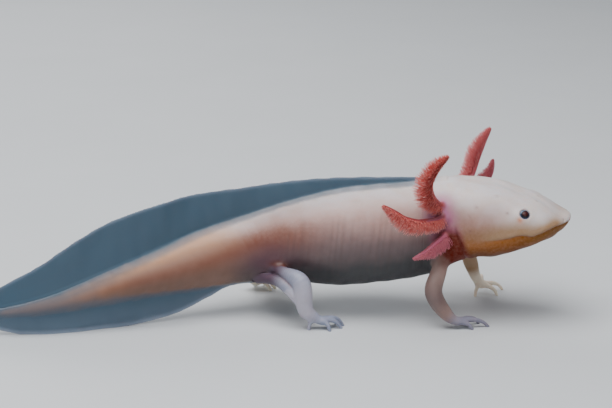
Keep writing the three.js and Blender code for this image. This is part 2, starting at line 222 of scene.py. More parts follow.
# Legs: middle line, radii, the second fold of flesh behind a knee, and digits as angle from straight
# ahead, length, height of the arch, height of the tip and root behind the sole
LEGS = {
    "front_right": (
        [(48, -9, 28), (49.2, -16.8, 22), (51.5, -20.6, 14), (45.4, -21, 4.6), (42.1, -20.8, 2.9)],
        (3.4, 2.9, 3.3, 2.2, 1.5),
        (),
        [(-14, 5.8, 2.4, 0, 0), (11, 12.4, 3.2, 0, 0), (37, 10.8, 3.3, 0, 0), (68, 8.6, 2.8, 0, 0)],
    ),
    "front_left": (
        [(41, 9, 26), (36.5, 17.4, 19.5), (34.4, 21, 13.4), (32.2, 23, 6.9), (30, 23.5, 3.7)],
        (3.6, 2.8, 2.8, 2.0, 1.5),
        (),
        [
            (-112, 4.6, 3.2, 0, 1.6),
            (-25, 7.2, 3.4, 0, 0),
            (28, 10.6, 3.6, 0, 0),
            (84, 6.6, 5.4, 6.2, 0),
        ],
    ),
    "hind_right": (
        [
            (114.6, -5, 21.0),
            (107.6, -15.6, 20.5),
            (101.3, -21.3, 18.3),
            (98.9, -21.4, 6.9),
            (93.2, -21.2, 3.2),
        ],
        (1.7, 2.1, 3.4, 2.8, 1.3),
        [(117.5, -8.6, 15.8), (110.6, -15.2, 17.2), (105.2, -20, 14.8), (101.4, -21.4, 10.2)],
        [
            (-150, 2.4, 3.4, 0, 3.6),
            (-44, 4.2, 2.9, 0, 0),
            (4, 7.6, 3.4, 0, 0),
            (25, 9.2, 3.9, 0, 0),
            (46, 8.2, 3.6, 0, 0),
        ],
    ),
    "hind_left": (
        [(115, 5, 22), (111.4, 15, 20.8), (108.6, 21.5, 16.6), (121.4, 26.4, 6.6), (119.2, 29.5, 2.9)],
        (2.6, 2.6, 3.4, 2.4, 1.3),
        [(119, 6, 17), (116.8, 14, 15.6), (115, 20, 13.6), (116.6, 24, 11)],
        [
            (-24, 6.8, 3.2, 0, 0),
            (0, 8.2, 3.4, 0, 0),
            (26, 7.8, 3.4, 0, 0),
            (56, 6.8, 3.2, 0, 0),
            (98, 4.8, 2.8, 0, 0),
        ],
    ),
}
FOLD_RADII = (1.4, 2.0, 2.2, 1.9)
SOLE = (2.3, 2.1, 1.3)
DIGIT = (1.1, 0.85, 0.7, 0.55)  # radius from the root to the tip
END_ROUNDING = 0.12  # the share of a limb's or stalk's length that rounds off its end

# ---- Tools --------------------------------------------------------------------------------------


def cubic(t, start, leave, end, enter, step=1.0):
    """The cubic from start to end, as t runs from 0 to 1, with the slopes leave and enter per step."""
    return (
        (2 * t**3 - 3 * t**2 + 1) * start
        + (t**3 - 2 * t**2 + t) * step * leave
        + (3 * t**2 - 2 * t**3) * end
        + (t**3 - t**2) * step * enter
    )


def read(table, at):
    """All columns of a table at places along its first: a cubic through the rows."""
    rows = np.asarray(table, float)
    x, y = rows[:, 0], rows[:, 1:]
    span = np.diff(x)[:, None]
    rise = np.diff(y, axis=0) / span
    inner = (rise[:-1] * span[1:] + rise[1:] * span[:-1]) / (span[:-1] + span[1:])
    slope = np.vstack([rise[:1], inner, rise[-1:]])
    at = np.clip(np.asarray(at, float), x[0], x[-1])
    row = np.clip(np.searchsorted(x, at, side="right") - 1, 0, len(x) - 2)
    t = ((at - x[row]) / span[row, 0])[..., None]
    return cubic(t, y[row], slope[row], y[row + 1], slope[row + 1], span[row])


def spot(rows):
    """Places given as distance back from the snout, sideways and up, in the model's frame."""
    rows = np.asarray(rows, float)
    return np.stack([SNOUT_X - rows[..., 0], rows[..., 1] - MIDDLE_Y, rows[..., 2]], -1)


def unit(v):
    """Vectors divided by their own lengths."""
    return v / np.maximum(np.linalg.norm(v, axis=-1, keepdims=True), 1e-12)


def dot(a, b):
    return np.sum(a * b, axis=-1)


def away_from(place, points):
    """How far points are from one place."""
    return np.linalg.norm(points - place, axis=1)


def rounding(distance, reach):
    """A quarter round that rises from 0 at an end to 1 at the given reach."""
    return np.sqrt(1 - (1 - np.clip(distance / reach, 0, 1)) ** 2)


def squared(value, power):
    """Cos or sin raised to 2 / power with its sign kept, which squares off a circle."""
    return np.sign(value) * np.abs(value) ** (2 / power)


def fade(low, high, x):
    """0 at low, 1 at high, and an S-shaped rise between them. Low may be the larger."""
    t = np.clip((x - low) / (high - low), 0, 1)
    return t * t * (3 - 2 * t)


def ridge(x, width):
    """A bell of height 1 at x = 0 that has fallen to 0.37 at the width."""
    return np.exp(-((x / width) ** 2))


# ---- The body's axis and sections ---------------------------------------------------------------


def section(back):
    """Cross-sections of the body at distances back. The centre follows the table, forward is its
    direction, and left and up are turned about it by the head's lean. Half width, rise and drop are
    the table's, times quarter rounds at the snout and the tail tip."""
    back = np.asarray(back, float)
    side, level, wide, top, under = np.moveaxis(read(BODY, back), -1, 0)
    turn = read(BODY, back - PROBE)[..., 0] - read(BODY, back + PROBE)[..., 0]
    forward = unit(np.stack([0 * back + 2 * PROBE, turn, 0 * back], -1))
    flat_left = np.stack([-forward[..., 1], forward[..., 0], 0 * back], -1)
    lean = (HEAD_ROLL * np.clip((NECK_BACK - back) / LEAN_FADE, 0, 1))[..., None]
    upright = np.array([0.0, 0.0, 1.0])
    tail = rounding(BODY_LENGTH - back, TAIL_ROUNDING)
    return {
        "centre": spot(np.stack([back, side, level], -1)),
        "forward": forward,
        "flat_left": flat_left,
        "left": flat_left * np.cos(lean) + upright * np.sin(lean),
        "up": upright * np.cos(lean) - flat_left * np.sin(lean),
        "wide": wide * rounding(back, SNOUT_ROUNDING["wide"]) * tail,
        "rise": (top - level) * rounding(back, SNOUT_ROUNDING["top"]) * tail,
        "drop": (level - under) * rounding(back, SNOUT_ROUNDING["under"]) * tail,
    }


# The sections worked out once, closest together at the snout, and read between by straight lines.
FINE_BACK = BODY_LENGTH * np.linspace(0, 1, 1400) ** 2
FINE = section(FINE_BACK)


def profile(back):
    """The sections at many places: every entry of FINE between its two nearest stations."""
    low = np.clip(np.searchsorted(FINE_BACK, back) - 1, 0, len(FINE_BACK) - 2)
    share = np.clip((back - FINE_BACK[low]) / (FINE_BACK[low + 1] - FINE_BACK[low]), 0, 1)
    found = {}
    for name, values in FINE.items():
        weight = share[:, None] if values.ndim == 2 else share
        found[name] = values[low] * (1 - weight) + values[low + 1] * weight
    return found


def locate(points):
    """Where points lie along and round the body. Back is the station whose section plane holds the
    point: each round takes off the point's distance ahead of the plane. Across and height are
    measured in that plane, and angle runs from the animal's left over its back."""
    back = SNOUT_X - points[:, 0]
    for _ in range(4):
        at = np.clip(back, 0, BODY_LENGTH)
        side = np.interp(at, FINE_BACK, FINE["centre"][:, 1])
        ahead_x = np.interp(at, FINE_BACK, FINE["forward"][:, 0])
        ahead_y = np.interp(at, FINE_BACK, FINE["forward"][:, 1])
        off = (points[:, 0] - SNOUT_X + back) * ahead_x + (points[:, 1] - side) * ahead_y
        back = back - off * ahead_x
    found = profile(back)
    offset = points - found["centre"]
    found["at"] = points
    found["back"] = back
    found["across"] = dot(offset, found["left"])
    found["height"] = dot(offset, found["up"])
    found["sideways"] = dot(offset, found["flat_left"])
    found["level"] = points[:, 2]
    found["angle"] = np.arctan2(found["height"], found["across"])
    return found


def body_distance(place):
    """Distance outside the body: along the ray from the axis, the share of it past the section's
    squared ellipse |across / wide|^p + |height / tall|^p = 1, plus any way past either end."""
    tiny = 1e-3
    tall = np.where(place["height"] > 0, place["rise"], place["drop"])
    across = np.abs(place["across"]) / np.maximum(place["wide"], tiny)
    height = np.abs(place["height"]) / np.maximum(tall, tiny)
    reach = (across**SECTION_POWER + height**SECTION_POWER) ** (1 / SECTION_POWER)
    ray = np.hypot(place["across"], place["height"])
    past = np.maximum(np.maximum(-place["back"], place["back"] - BODY_LENGTH), 0)
    return ray - ray / np.maximum(reach, tiny) + past


# ---- Forms: closed grids of points --------------------------------------------------------------


def closed(rows, first, last):
    """A closed form from rings of points and a point at either end: quads between rings and fans of
    triangles at the ends. Gives points and faces, with a triangle's last corner repeated."""
    rings, sides, _ = rows.shape
    points = np.vstack([rows.reshape(-1, 3), first[None], last[None]])
    ring = np.arange(rings * sides).reshape(rings, sides)
    turned = np.roll(ring, -1, axis=1)
    quads = np.stack([ring[:-1], turned[:-1], turned[1:], ring[1:]], -1).reshape(-1, 4)
    start = np.full(sides, rings * sides)
    fan = np.stack([start, turned[0], ring[0], ring[0]], -1)
    far = np.stack([start + 1, ring[-1], turned[-1], turned[-1]], -1)
    return points, np.vstack([quads, fan, far])


def round_section(s, angle):
    """Places round sections s at angles: half width * cos across and rise or drop * sin up, both
    squared off."""
    across = s["wide"] * squared(np.cos(angle), SECTION_POWER)
    tall = np.where(np.sin(angle) > 0, s["rise"], s["drop"])
    height = squared(np.sin(angle), SECTION_POWER) * tall
    return s["centre"] + s["left"] * across[..., None] + s["up"] * height[..., None]


def body_form(rings=300, sides=80, crowding=1.6):
    """The body: round its sections at back = length * along^crowding."""
    back = BODY_LENGTH * np.linspace(0, 1, rings + 2)[1:-1, None] ** crowding
    angle = np.linspace(0, 2 * np.pi, sides, endpoint=False)[None, :]
    rows = round_section(section(back + 0 * angle), angle)
    ends = section(np.array([0.0, BODY_LENGTH]))["centre"]
    return closed(rows, ends[0], ends[1])


def fin_thickness(back):
    return (FIN_THICKNESS[0] + (FIN_THICKNESS[1] - FIN_THICKNESS[0]) * back / BODY_LENGTH) / 2


def fin_form(edge, rings=160, sides=24):
    """A blade in the body's middle plane, from the axis to the free edge: half its depth * sin up and
    half its thickness * squared-off cos across."""
    span = np.linspace(edge[0][0], edge[-1][0], rings + 2)
    turns = np.linspace(0, 2 * np.pi, sides, endpoint=False)
    back, angle = np.meshgrid(span[1:-1], turns, indexing="ij")
    s = section(back)
    height = read(edge, back)[..., 0]
    level = s["centre"][..., 2]
    thick = fin_thickness(back) + FIN_BODY
    rows = s["centre"] + s["flat_left"] * (thick * squared(np.cos(angle), FIN_POWER))[..., None]
    rows[..., 2] = (height + level) / 2 + np.abs(height - level) / 2 * np.sin(angle)
    ends = section(span[[0, -1]])["centre"]
    ends[:, 2] = (read(edge, span[[0, -1]])[:, 0] + ends[:, 2]) / 2
    return closed(rows, ends[0], ends[1])


def fin_distance(place, edge):
    """Distance outside a fin's blade: |sideways / thick|^p + |height / half depth|^2 less 1, over the
    length of its slope."""
    back = np.clip(place["back"], edge[0][0], edge[-1][0])
    height = read(edge, back)[:, 0]
    level = place["centre"][:, 2]
    reach = np.maximum(np.abs(height - level) / 2, 0.2)
    thick = fin_thickness(back)
    u = np.abs(place["sideways"]) / thick
    v = np.abs(place["level"] - (height + level) / 2) / reach
    slope = np.hypot(FIN_POWER * u ** (FIN_POWER - 1) / thick, 2 * v / reach)
    past = np.abs(place["back"] - back)
    return (u**FIN_POWER + v**2 - 1) / np.maximum(slope, 0.8 / thick) + past


def smooth_curve(points, count, share=None):
    """A centripetal Catmull-Rom curve through points, read at even steps of its length. Gives the
    places, the unit directions and the total length of the straight pieces between the points."""
    p = np.vstack([2 * points[0] - points[1], points, 2 * points[-1] - points[-2]])
    gap = np.linalg.norm(np.diff(p, axis=0), axis=1) ** 0.5
    t = np.linspace(0, 1, 60)[:-1, None]
    runs = []
    for k in range(len(points) - 1):
        a, b, c, d = p[k : k + 4]
        before, here, after = gap[k : k + 3]
        leave = ((b - a) / before - (c - a) / (before + here) + (c - b) / here) * here
        enter = ((c - b) / here - (d - b) / (here + after) + (d - c) / after) * here
        runs.append(cubic(t, b, leave, c, enter))
    fine = np.vstack([*runs, points[-1:]])
    run = np.concatenate([[0], np.cumsum(np.linalg.norm(np.diff(fine, axis=0), axis=1))])
    share = np.linspace(0, 1, count) if share is None else share
    place = np.stack([np.interp(share * run[-1], run, fine[:, k]) for k in range(3)], -1)
    step = 1e-3
    ahead = np.stack([np.interp((share + step) * run[-1], run, fine[:, k]) for k in range(3)], -1)
    behind = np.stack([np.interp((share - step) * run[-1], run, fine[:, k]) for k in range(3)], -1)
    return place, unit(ahead - behind), share


def limb_line(points, radii, count):
    """A limb's middle line and its radius along it, rounded off over its last eighth."""
    line, direction, share = smooth_curve(points, count)
    run = np.concatenate([[0], np.cumsum(np.linalg.norm(np.diff(points, axis=0), axis=1))])
    radius = read(np.column_stack([run, radii]), share * run[-1])[:, 0]
    return line, direction, radius * rounding(1 - share, END_ROUNDING), share


def tube_form(line, direction, radius, sides=16, grow=0.0):
    """A round tube: line + radius * (cos * across + sin * over), with across square to the line."""
    handle = np.array([0.31, 0.17, 0.93])
    across = unit(np.cross(direction, handle))
    over = np.cross(direction, across)
    angle = np.linspace(0, 2 * np.pi, sides, endpoint=False)
    cos, sin = np.cos(angle)[None, :, None], np.sin(angle)[None, :, None]
    ring = cos * across[:, None] + sin * over[:, None]
    rows = line[:, None] + ring * (radius + grow)[:, None, None]
    return closed(rows, line[0], line[-1])


def tube_distance(points, line, radius):
    """Distance outside a tube: to the nearest of its straight pieces, less the radius there. Also
    gives how far along the tube that is, from 0 to 1."""
    best = np.full(len(points), 1e9)
    share = np.zeros(len(points))
    pieces = len(line) - 1
    for k in range(pieces):
        step = line[k + 1] - line[k]
        t = np.clip((points - line[k]) @ step / (step @ step), 0, 1)
        away = np.linalg.norm(points - line[k] - t[:, None] * step, axis=1)
        away -= radius[k] + t * (radius[k + 1] - radius[k])
        nearer = away < best
        best = np.where(nearer, away, best)
        share = np.where(nearer, (k + t) / pieces, share)
    return best, share


def ball_form(centre, radii, rings=12, sides=20):
    """An ellipsoid: centre + radii * (sin p cos a, sin p sin a, cos p)."""
    polar = np.linspace(0, np.pi, rings + 2)[1:-1, None]
    angle = np.linspace(0, 2 * np.pi, sides, endpoint=False)[None]
    flat = np.sin(polar)
    rows = np.stack([flat * np.cos(angle), flat * np.sin(angle), np.cos(polar) + 0 * angle], -1)
    top = np.array([0, 0, 1.0]) * radii
    return closed(centre + rows * radii, centre + top, centre - top)


def ball_distance(points, centre, radii):
    """Distance outside an ellipsoid: f (f - 1) / |p / r^2| with f = |p / r|."""
    p = (points - centre) / np.asarray(radii)
    f = np.linalg.norm(p, axis=1)
    return f * (f - 1) / np.maximum(np.linalg.norm(p / radii, axis=1), 1e-6)


def digit_points(sole, heel, digit):
    """Four points of a digit: its root, the top of its arch, the start of its hook and its tip, which
    runs on below the floor by its own radius so that it stands on a small flat."""
    angle, length, arch, end, back = digit
    turn = math.radians(angle)
    way = np.array([math.cos(turn), math.sin(turn), 0.0])
    root = sole + unit(heel - sole) * back
    low = end - DIGIT[3]
    points = root + way * length * np.array([0, 0.42, 0.76, 1.0])[:, None]
    points[1:, 2] = arch, low + (arch - low) * 0.72, low
    return points


class Limb:
    """A leg's or a gill stalk's lines and radii, kept for its form and its distance."""

    def __init__(self, name, line, radius, direction, soft):
        self.name = name
        self.line = line
        self.radius = radius
        self.direction = direction
        self.soft = soft  # how widely it melts into the body at its root and further out
        self.tubes = []  # digits and folds: line, direction, radius and how softly they join
        self.sole = None


def stalk_radius(share):
    """A gill stalk's radius with its filaments: straight from root to tip, and rounded at the tip."""
    return (STALK[0] + (STALK[1] - STALK[0]) * share) * rounding(1 - share, END_ROUNDING)


def gill_web(direction, fringe):
    """The way a fringe points, made square to its stalk."""
    way = unit(np.array(fringe, float))
    return unit(way - direction * (direction @ way)[:, None])


def make_limbs():
    limbs = []
    for name, (line, radii, fold, digits) in LEGS.items():
        points = spot(line)
        middle, direction, radius, _ = limb_line(points, radii, 40)
        limb = Limb(name, middle, radius, direction, soft=(4.0, 1.2))
        limb.sole = points[-1]
        if fold:
            limb.tubes.append((*limb_line(spot(fold), FOLD_RADII, 20)[:3], 0.8))
        for digit in digits:
            bones = digit_points(points[-1], points[-2], digit)
            limb.tubes.append((*limb_line(bones, DIGIT, 16)[:3], 0.9))
        limbs.append(limb)
    for name, (line, fringe, _, _) in GILLS.items():
        middle, direction, share = smooth_curve(spot(line), 44)
        full = stalk_radius(share)
        web = gill_web(direction, fringe)
        middle = middle - web * (full * (1 - STALK_CORE) * 0.8)[:, None]
        limbs.append(Limb(name, middle, full * STALK_CORE, direction, soft=(3.0, 0.5)))
    return limbs


LIMBS = make_limbs()


def limb_named(name):
    return next(limb for limb in LIMBS if limb.name == name)


def above_line(points, limb, share):
    """Height above a limb's middle line at shares of its length."""
    return points[:, 2] - np.interp(share, np.linspace(0, 1, len(limb.line)), limb.line[:, 2])


def limb_forms(limb, grow):
    """The closed forms of one limb: its tube, its sole, its fold and its digits."""
    forms = [tube_form(limb.line, limb.direction, limb.radius, 24, grow)]
    if limb.sole is not None:
        forms.append(ball_form(limb.sole, np.array(SOLE)))
    for line, direction, radius, _ in limb.tubes:
        forms.append(tube_form(line, direction, radius, 14, grow))
    return forms


def melt(a, b, soft):
    """The nearer of two distances, rounded off where they differ by less than soft."""
    near = np.maximum(soft - np.abs(a - b), 0) / soft
    return np.minimum(a, b) - near * near * soft / 4


def limb_distance(points, limb):
    """Distance outside a whole limb, how widely it melts into the body there, and how far along the
    limb that is."""
    away, share = tube_distance(points, limb.line, limb.radius)
    soft = limb.soft[1] + (limb.soft[0] - limb.soft[1]) * fade(0.62, 0.1, share)
    if limb.sole is not None:
        away = melt(away, ball_distance(points, limb.sole, np.array(SOLE)), 1.6)
    for line, _, radius, join in limb.tubes:
        close = np.all(np.abs(points - line.mean(0)) < np.ptp(line, 0) / 2 + 6.0, axis=1)
        extra = tube_distance(points[close], line, radius)[0]
        away[close] = melt(away[close], extra, join)
    return away, soft, share


REACH = 9.0  # how far from a limb's lines it can still shape the body


def field(points):
    """Distance outside the whole animal, with every part melted into what carries it."""
    place = locate(points)
    away = body_distance(place)
    away = melt(away, fin_distance(place, UPPER_EDGE), 2.2)
    away = melt(away, fin_distance(place, LOWER_EDGE), 2.0)
    for limb in LIMBS:
        spread = np.vstack([limb.line, *[tube[0] for tube in limb.tubes]])
        low, high = spread.min(0) - REACH, spread.max(0) + REACH
        near = np.all((points > low) & (points < high), axis=1)
        own, soft, _ = limb_distance(points[near], limb)
        away[near] = melt(away[near], own, soft)
    return away


def slope(points, here=None):
    """Direction in which the distance grows, from small steps along each axis."""
    step = 0.03
    here = field(points) if here is None else here
    return np.stack([(field(points + step * np.eye(3)[k]) - here) / step for k in range(3)], -1)


# ---- Skin ---------------------------------------------------------------------------------------

VOXEL = 0.4  # the grid on which the forms are joined
SKIN_TRIANGLES = 190_000


def surface_place(back, angle):
    """Points on the body's surface at distances back and angles in degrees."""
    back, angle = np.broadcast_arrays(np.asarray(back, float), np.radians(angle))
    return round_section(section(back), angle)


def eye_place(node):
    """The middle of an eye's ball in its CAD box, and the way it looks: square to the head there."""
    low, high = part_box(node)
    centre = np.array((low + high) / 2) / MM
    return centre, unit(slope(centre[None] * np.ones((1, 3))))[0]


def mouth_height(place):
    """Height above the mouth's line, once the head's lean about the lip has been turned back."""
    side = place["at"][:, 1] + MIDDLE_Y - LIP[0]
    up = place["at"][:, 2] - LIP[1]
    level = LIP[1] + up * math.cos(HEAD_ROLL) - side * math.sin(HEAD_ROLL)
    return level - read(MOUTH, SNOUT_X - place["at"][:, 0])[:, 0]


def under_angle(place):
    """Degrees below the widest line of the section: 90 at the middle of the belly, -90 on the back."""
    return np.degrees(np.arctan2(-place["height"], np.abs(place["across"])))


THROAT_FOLD = [(-30, 42.5), (-6, 40.2), (8, 38.4), (34, 37.0), (90, 36.2)]


def fold_gap(place):
    """Distance behind the throat's fold, which runs from under the gills down and forward."""
    return place["back"] - read(THROAT_FOLD, under_angle(place))[:, 0]


def mouth_relief(place):
    """The upper lip swells over a narrow groove, and the lower jaw is set back below it, most at the
    front."""
    s = mouth_height(place)
    shown = fade(MOUTH_CORNER + 2, MOUTH_CORNER - 9, place["back"])
    lip = 0.16 * ridge(s - 1.0, 1.0) - 0.36 * ridge(s + 0.05, 0.32)
    set_back = 0.35 + 0.5 * fade(9, 2, place["back"])
    jaw = -set_back * fade(0.1, -0.5, s) * fade(-7, -1.5, s) + 0.12 * ridge(s + 1.3, 0.7)
    return shown * (lip + jaw)


def head_relief(place):
    """A shallow dip along the crown between the jaw muscles, a low brow and a blunt tip."""
    back, side = place["back"], np.abs(place["across"])
    above = fade(0, 6, place["height"])
    crown = -0.5 * ridge(side, 3.2) * fade(7, 15, back) * fade(46, 34, back)
    muscle = 0.4 * ridge(side - 8.5, 4.0) * ridge(back - 28, 9)
    brow = 0.12 * ridge(side - 10.2, 2.4) * ridge(back - 14, 5)
    tip = 0.55 * fade(4, 0, back)
    return above * (crown + muscle + brow) + tip


def throat_relief(place):
    """The fold of skin behind the throat, with a soft roll ahead of it, and gill slits behind it."""
    t = fold_gap(place)
    phi = under_angle(place)
    fold = 0.3 * ridge(t + 1.8, 1.8) - 0.45 * ridge(t - 0.3, 0.9)
    fold = fold * fade(-26, -8, phi) * fade(78, 46, phi)
    slits = -0.16 * ridge(np.sin(np.pi * (t - 2) / 2.1), 0.45) * fade(0.5, 2, t) * fade(9, 7, t)
    slits = slits * fade(-8, 2, phi) * fade(44, 30, phi)
    wrinkles = -0.1 * ridge(np.sin(np.pi * (place["back"] - 47) / 2.4), 0.35)
    wrinkles = wrinkles * fade(45, 49, place["back"]) * fade(59, 54, place["back"])
    return fold + slits + wrinkles * fade(60, 30, np.abs(phi))


COSTAL_START = 57.5
COSTAL_STEP = 4.15
COSTAL_COUNT = 14


def costal_gap(place):
    """Distance to the nearest costal groove: they lean forward a little towards the belly."""
    t = (place["back"] + 0.1 * place["height"] - COSTAL_START) / COSTAL_STEP
    return (t - np.round(t)) * COSTAL_STEP


def flank_relief(place):
    """Costal grooves down the flanks, of uneven depth, and faint chevrons along the tail's muscle."""
    back, phi = place["back"], under_angle(place)
    end = COSTAL_START + COSTAL_STEP * COSTAL_COUNT
    shown = fade(-50, -15, phi) * fade(72, 48, phi)
    shown = shown * fade(COSTAL_START - 4, COSTAL_START + 3, back) * fade(end + 3, end - 4, back)
    uneven = 0.65 + 0.35 * np.sin(1.9 * back + 0.23 * place["height"])
    ribs = -0.14 * ridge(costal_gap(place), 1.1) * shown * uneven
    t = (back - 0.55 * np.abs(place["height"]) - 118) / 4.0
    chevron = ridge((t - np.round(t)) * 4.0, 0.8)
    return ribs - 0.05 * chevron * fade(112, 122, back) * fade(200, 175, back)


def swell(points):
    """A slow unevenness of the flesh: three crossed waves."""
    x, y, z = points.T
    return 0.05 * (
        np.sin(0.71 * x + 0.35 * z)
        + np.sin(0.53 * z - 0.42 * y + 1.3)
        + np.sin(0.9 * y + 0.66 * x + 2.1)
    )


def eye_relief(points, node):
    """A low mound round the eye, and a socket inside it that drops below the ball's surface."""
    centre, look = eye_place(node)
    offset = points - centre
    along = offset @ look
    out = np.linalg.norm(offset - np.outer(along, look), axis=1)
    facing = fade(-2.5, 0.0, along)
    mound = 0.45 * ridge(out - 2.3, 1.5)
    socket = -1.5 * fade(2.15, 1.55, out)
    return facing * (mound + socket) * fade(9, 6, out)


NOSTRIL_BACK = 1.7
NOSTRIL_ANGLES = (38, 142)
NOSTRIL_DEPTH = 0.55
NOSTRIL_WIDTH = 0.55


def relief(points):
    """How far the skin stands out or is drawn in at each point, along its own direction."""
    place = locate(points)
    flesh = fade(1.6, 0.5, np.abs(body_distance(place)))
    own = mouth_relief(place) + head_relief(place) + throat_relief(place) + flank_relief(place)
    eyes = sum(eye_relief(points, node) for node in EYE_PARTS)
    nostrils = 0
    for angle in NOSTRIL_ANGLES:
        pit = surface_place(NOSTRIL_BACK, angle)
        nostrils = nostrils - NOSTRIL_DEPTH * ridge(away_from(pit, points), NOSTRIL_WIDTH)
    return flesh * (own + eyes + nostrils) + swell(points) * fade(0.5, 3, points[:, 2])


def ripple(points):
    """The fins' free edges wave from side to side: 0.5 sin(0.19 back) + 0.14 sin(0.47 back + 0.2 z)."""
    place = locate(points)
    out = fade(1, 14, body_distance(place)) * fade(4, 2, np.abs(place["sideways"]))
    out = out * fade(60, 90, place["back"])
    wave = 0.5 * np.sin(0.19 * place["back"]) + 0.14 * np.sin(0.47 * place["back"] + 0.2 * points[:, 2])
    return place["flat_left"] * (out * wave)[:, None]


def join_forms():
    """All the lofted forms as one list of points and triangles."""
    forms = [body_form(), fin_form(UPPER_EDGE), fin_form(LOWER_EDGE)]
    for limb in LIMBS:
        forms += limb_forms(limb, 0.12)
    starts = np.cumsum([0] + [len(points) for points, _ in forms])
    faces = np.vstack([faces + start for (_, faces), start in zip(forms, starts)])
    return np.vstack([points for points, _ in forms]), halves(faces)


def halves(faces):
    """Triangles of four-cornered faces. A face with its last corner repeated is one triangle."""
    whole = faces[:, 2] != faces[:, 3]
    return np.vstack([faces[:, [0, 1, 2]], faces[whole][:, [0, 2, 3]]])


def new_mesh(name, points, faces):
    """A mesh from arrays of points and of faces with three or four corners each."""
    mesh = bpy.data.meshes.new(name)
    corners = faces.shape[1]
    mesh.vertices.add(len(points))
    mesh.vertices.foreach_set("co", np.ascontiguousarray(points, np.float32).ravel())
    mesh.loops.add(faces.size)
    mesh.loops.foreach_set("vertex_index", np.ascontiguousarray(faces, np.int32).ravel())
    mesh.polygons.add(len(faces))
    mesh.polygons.foreach_set("loop_start", np.arange(0, faces.size, corners, dtype=np.int32))
    mesh.polygons.foreach_set("loop_total", np.full(len(faces), corners, np.int32))
    mesh.polygons.foreach_set("use_smooth", np.ones(len(faces), bool))
    mesh.update(calc_edges=True)
    mesh.validate()
    return mesh


def new_object(name, mesh):
    obj = bpy.data.objects.new(name, mesh)
    bpy.context.scene.collection.objects.link(obj)
    return obj


def mesh_points(mesh):
    points = np.empty(len(mesh.vertices) * 3, np.float32)
    mesh.vertices.foreach_get("co", points)
    return points.reshape(-1, 3).astype(float)


def with_modifier(name, mesh, kind, **settings):
    """A copy of the mesh with one modifier applied."""
    obj = new_object(name, mesh)
    modifier = obj.modifiers.new(kind.title(), kind)
    for key, value in settings.items():
        setattr(modifier, key, value)
    made = bpy.data.meshes.new_from_object(obj.evaluated_get(bpy.context.evaluated_depsgraph_get()))
    bpy.data.objects.remove(obj)
    bpy.data.meshes.remove(mesh)
    return made


def settle(points, rounds):
    """Draws points onto the surface where the field is 0: each round steps back by the distance
    along its slope, at most half a millimetre."""
    for _ in range(rounds):
        here = field(points)
        way = slope(points, here)
        steep = np.maximum(dot(way, way), 0.2)
        points = points - way * np.clip(here / steep, -0.5, 0.5)[:, None]
    return points, unit(way)


def skin_mesh():
    """Joins the forms on a fine grid, settles them on the blended surface, gives them their relief,
    lays what would be under the floor flat on it and thins the flat parts of the mesh."""
    rough = new_mesh("joined_forms", *join_forms())
    voxel = VOXEL
    mesh = with_modifier("joined_forms", rough, "REMESH", mode="VOXEL", voxel_size=voxel)
    points, out = settle(mesh_points(mesh), 4)
    points = points + out * relief(points)[:, None] + ripple(points)
    points[:, 2] = np.maximum(points[:, 2], 0)
    mesh.vertices.foreach_set("co", (points * MM).astype(np.float32).ravel())
    mesh.update()
    triangles = sum(len(polygon.vertices) - 2 for polygon in mesh.polygons)
    share = min(1.0, SKIN_TRIANGLES / triangles)
    return with_modifier("skin", mesh, "DECIMATE", ratio=share)


# ---- Markings, painted shade and painted light --------------------------------------------------

FRECKLE_SIZE = 0.5
# Distance back and angle round the head
FRECKLES = [(33.6, 140), (35.5, 152), (21.5, 142), (37.1, 170), (35.3, 168), (26, 120), (12, 100)]


def limb_share(points, out, names):
    """How much a point belongs to the named limbs rather than to the body, and how far along them it
    is."""
    found, reach = np.zeros(len(points)), np.zeros(len(points))
    for limb in LIMBS:
        if not limb.name.startswith(names):
            continue
        own, _, share = limb_distance(points, limb)
        belongs = fade(-0.8, 1.2, out - own) * fade(3.0, 1.0, own)
        found, reach = np.where(belongs > found, (belongs, share), (found, reach))
    return found, reach


def crease(points, out, name):
    """1 on the body just above a thigh, where the skin folds down to it and its shade is painted."""
    limb = limb_named(name)
    own, _, share = limb_distance(points, limb)
    above = fade(0.5, 2.5, above_line(points, limb, share))
    narrow = ridge(np.maximum(own, 0) - 0.1, 1.4)
    return narrow * above * fade(3.0, 1.6, out) * fade(0.02, 0.16, share) * fade(0.62, 0.5, share)


def inner_crease(points):
    """1 where the near thigh meets the fold of flesh behind its knee."""
    limb = limb_named("hind_right")
    fold, _, fold_radius, _ = limb.tubes[0]
    gap = tube_distance(points, limb.line, limb.radius)[0] - tube_distance(points, fold, fold_radius)[0]
    return ridge(gap, 1.0)


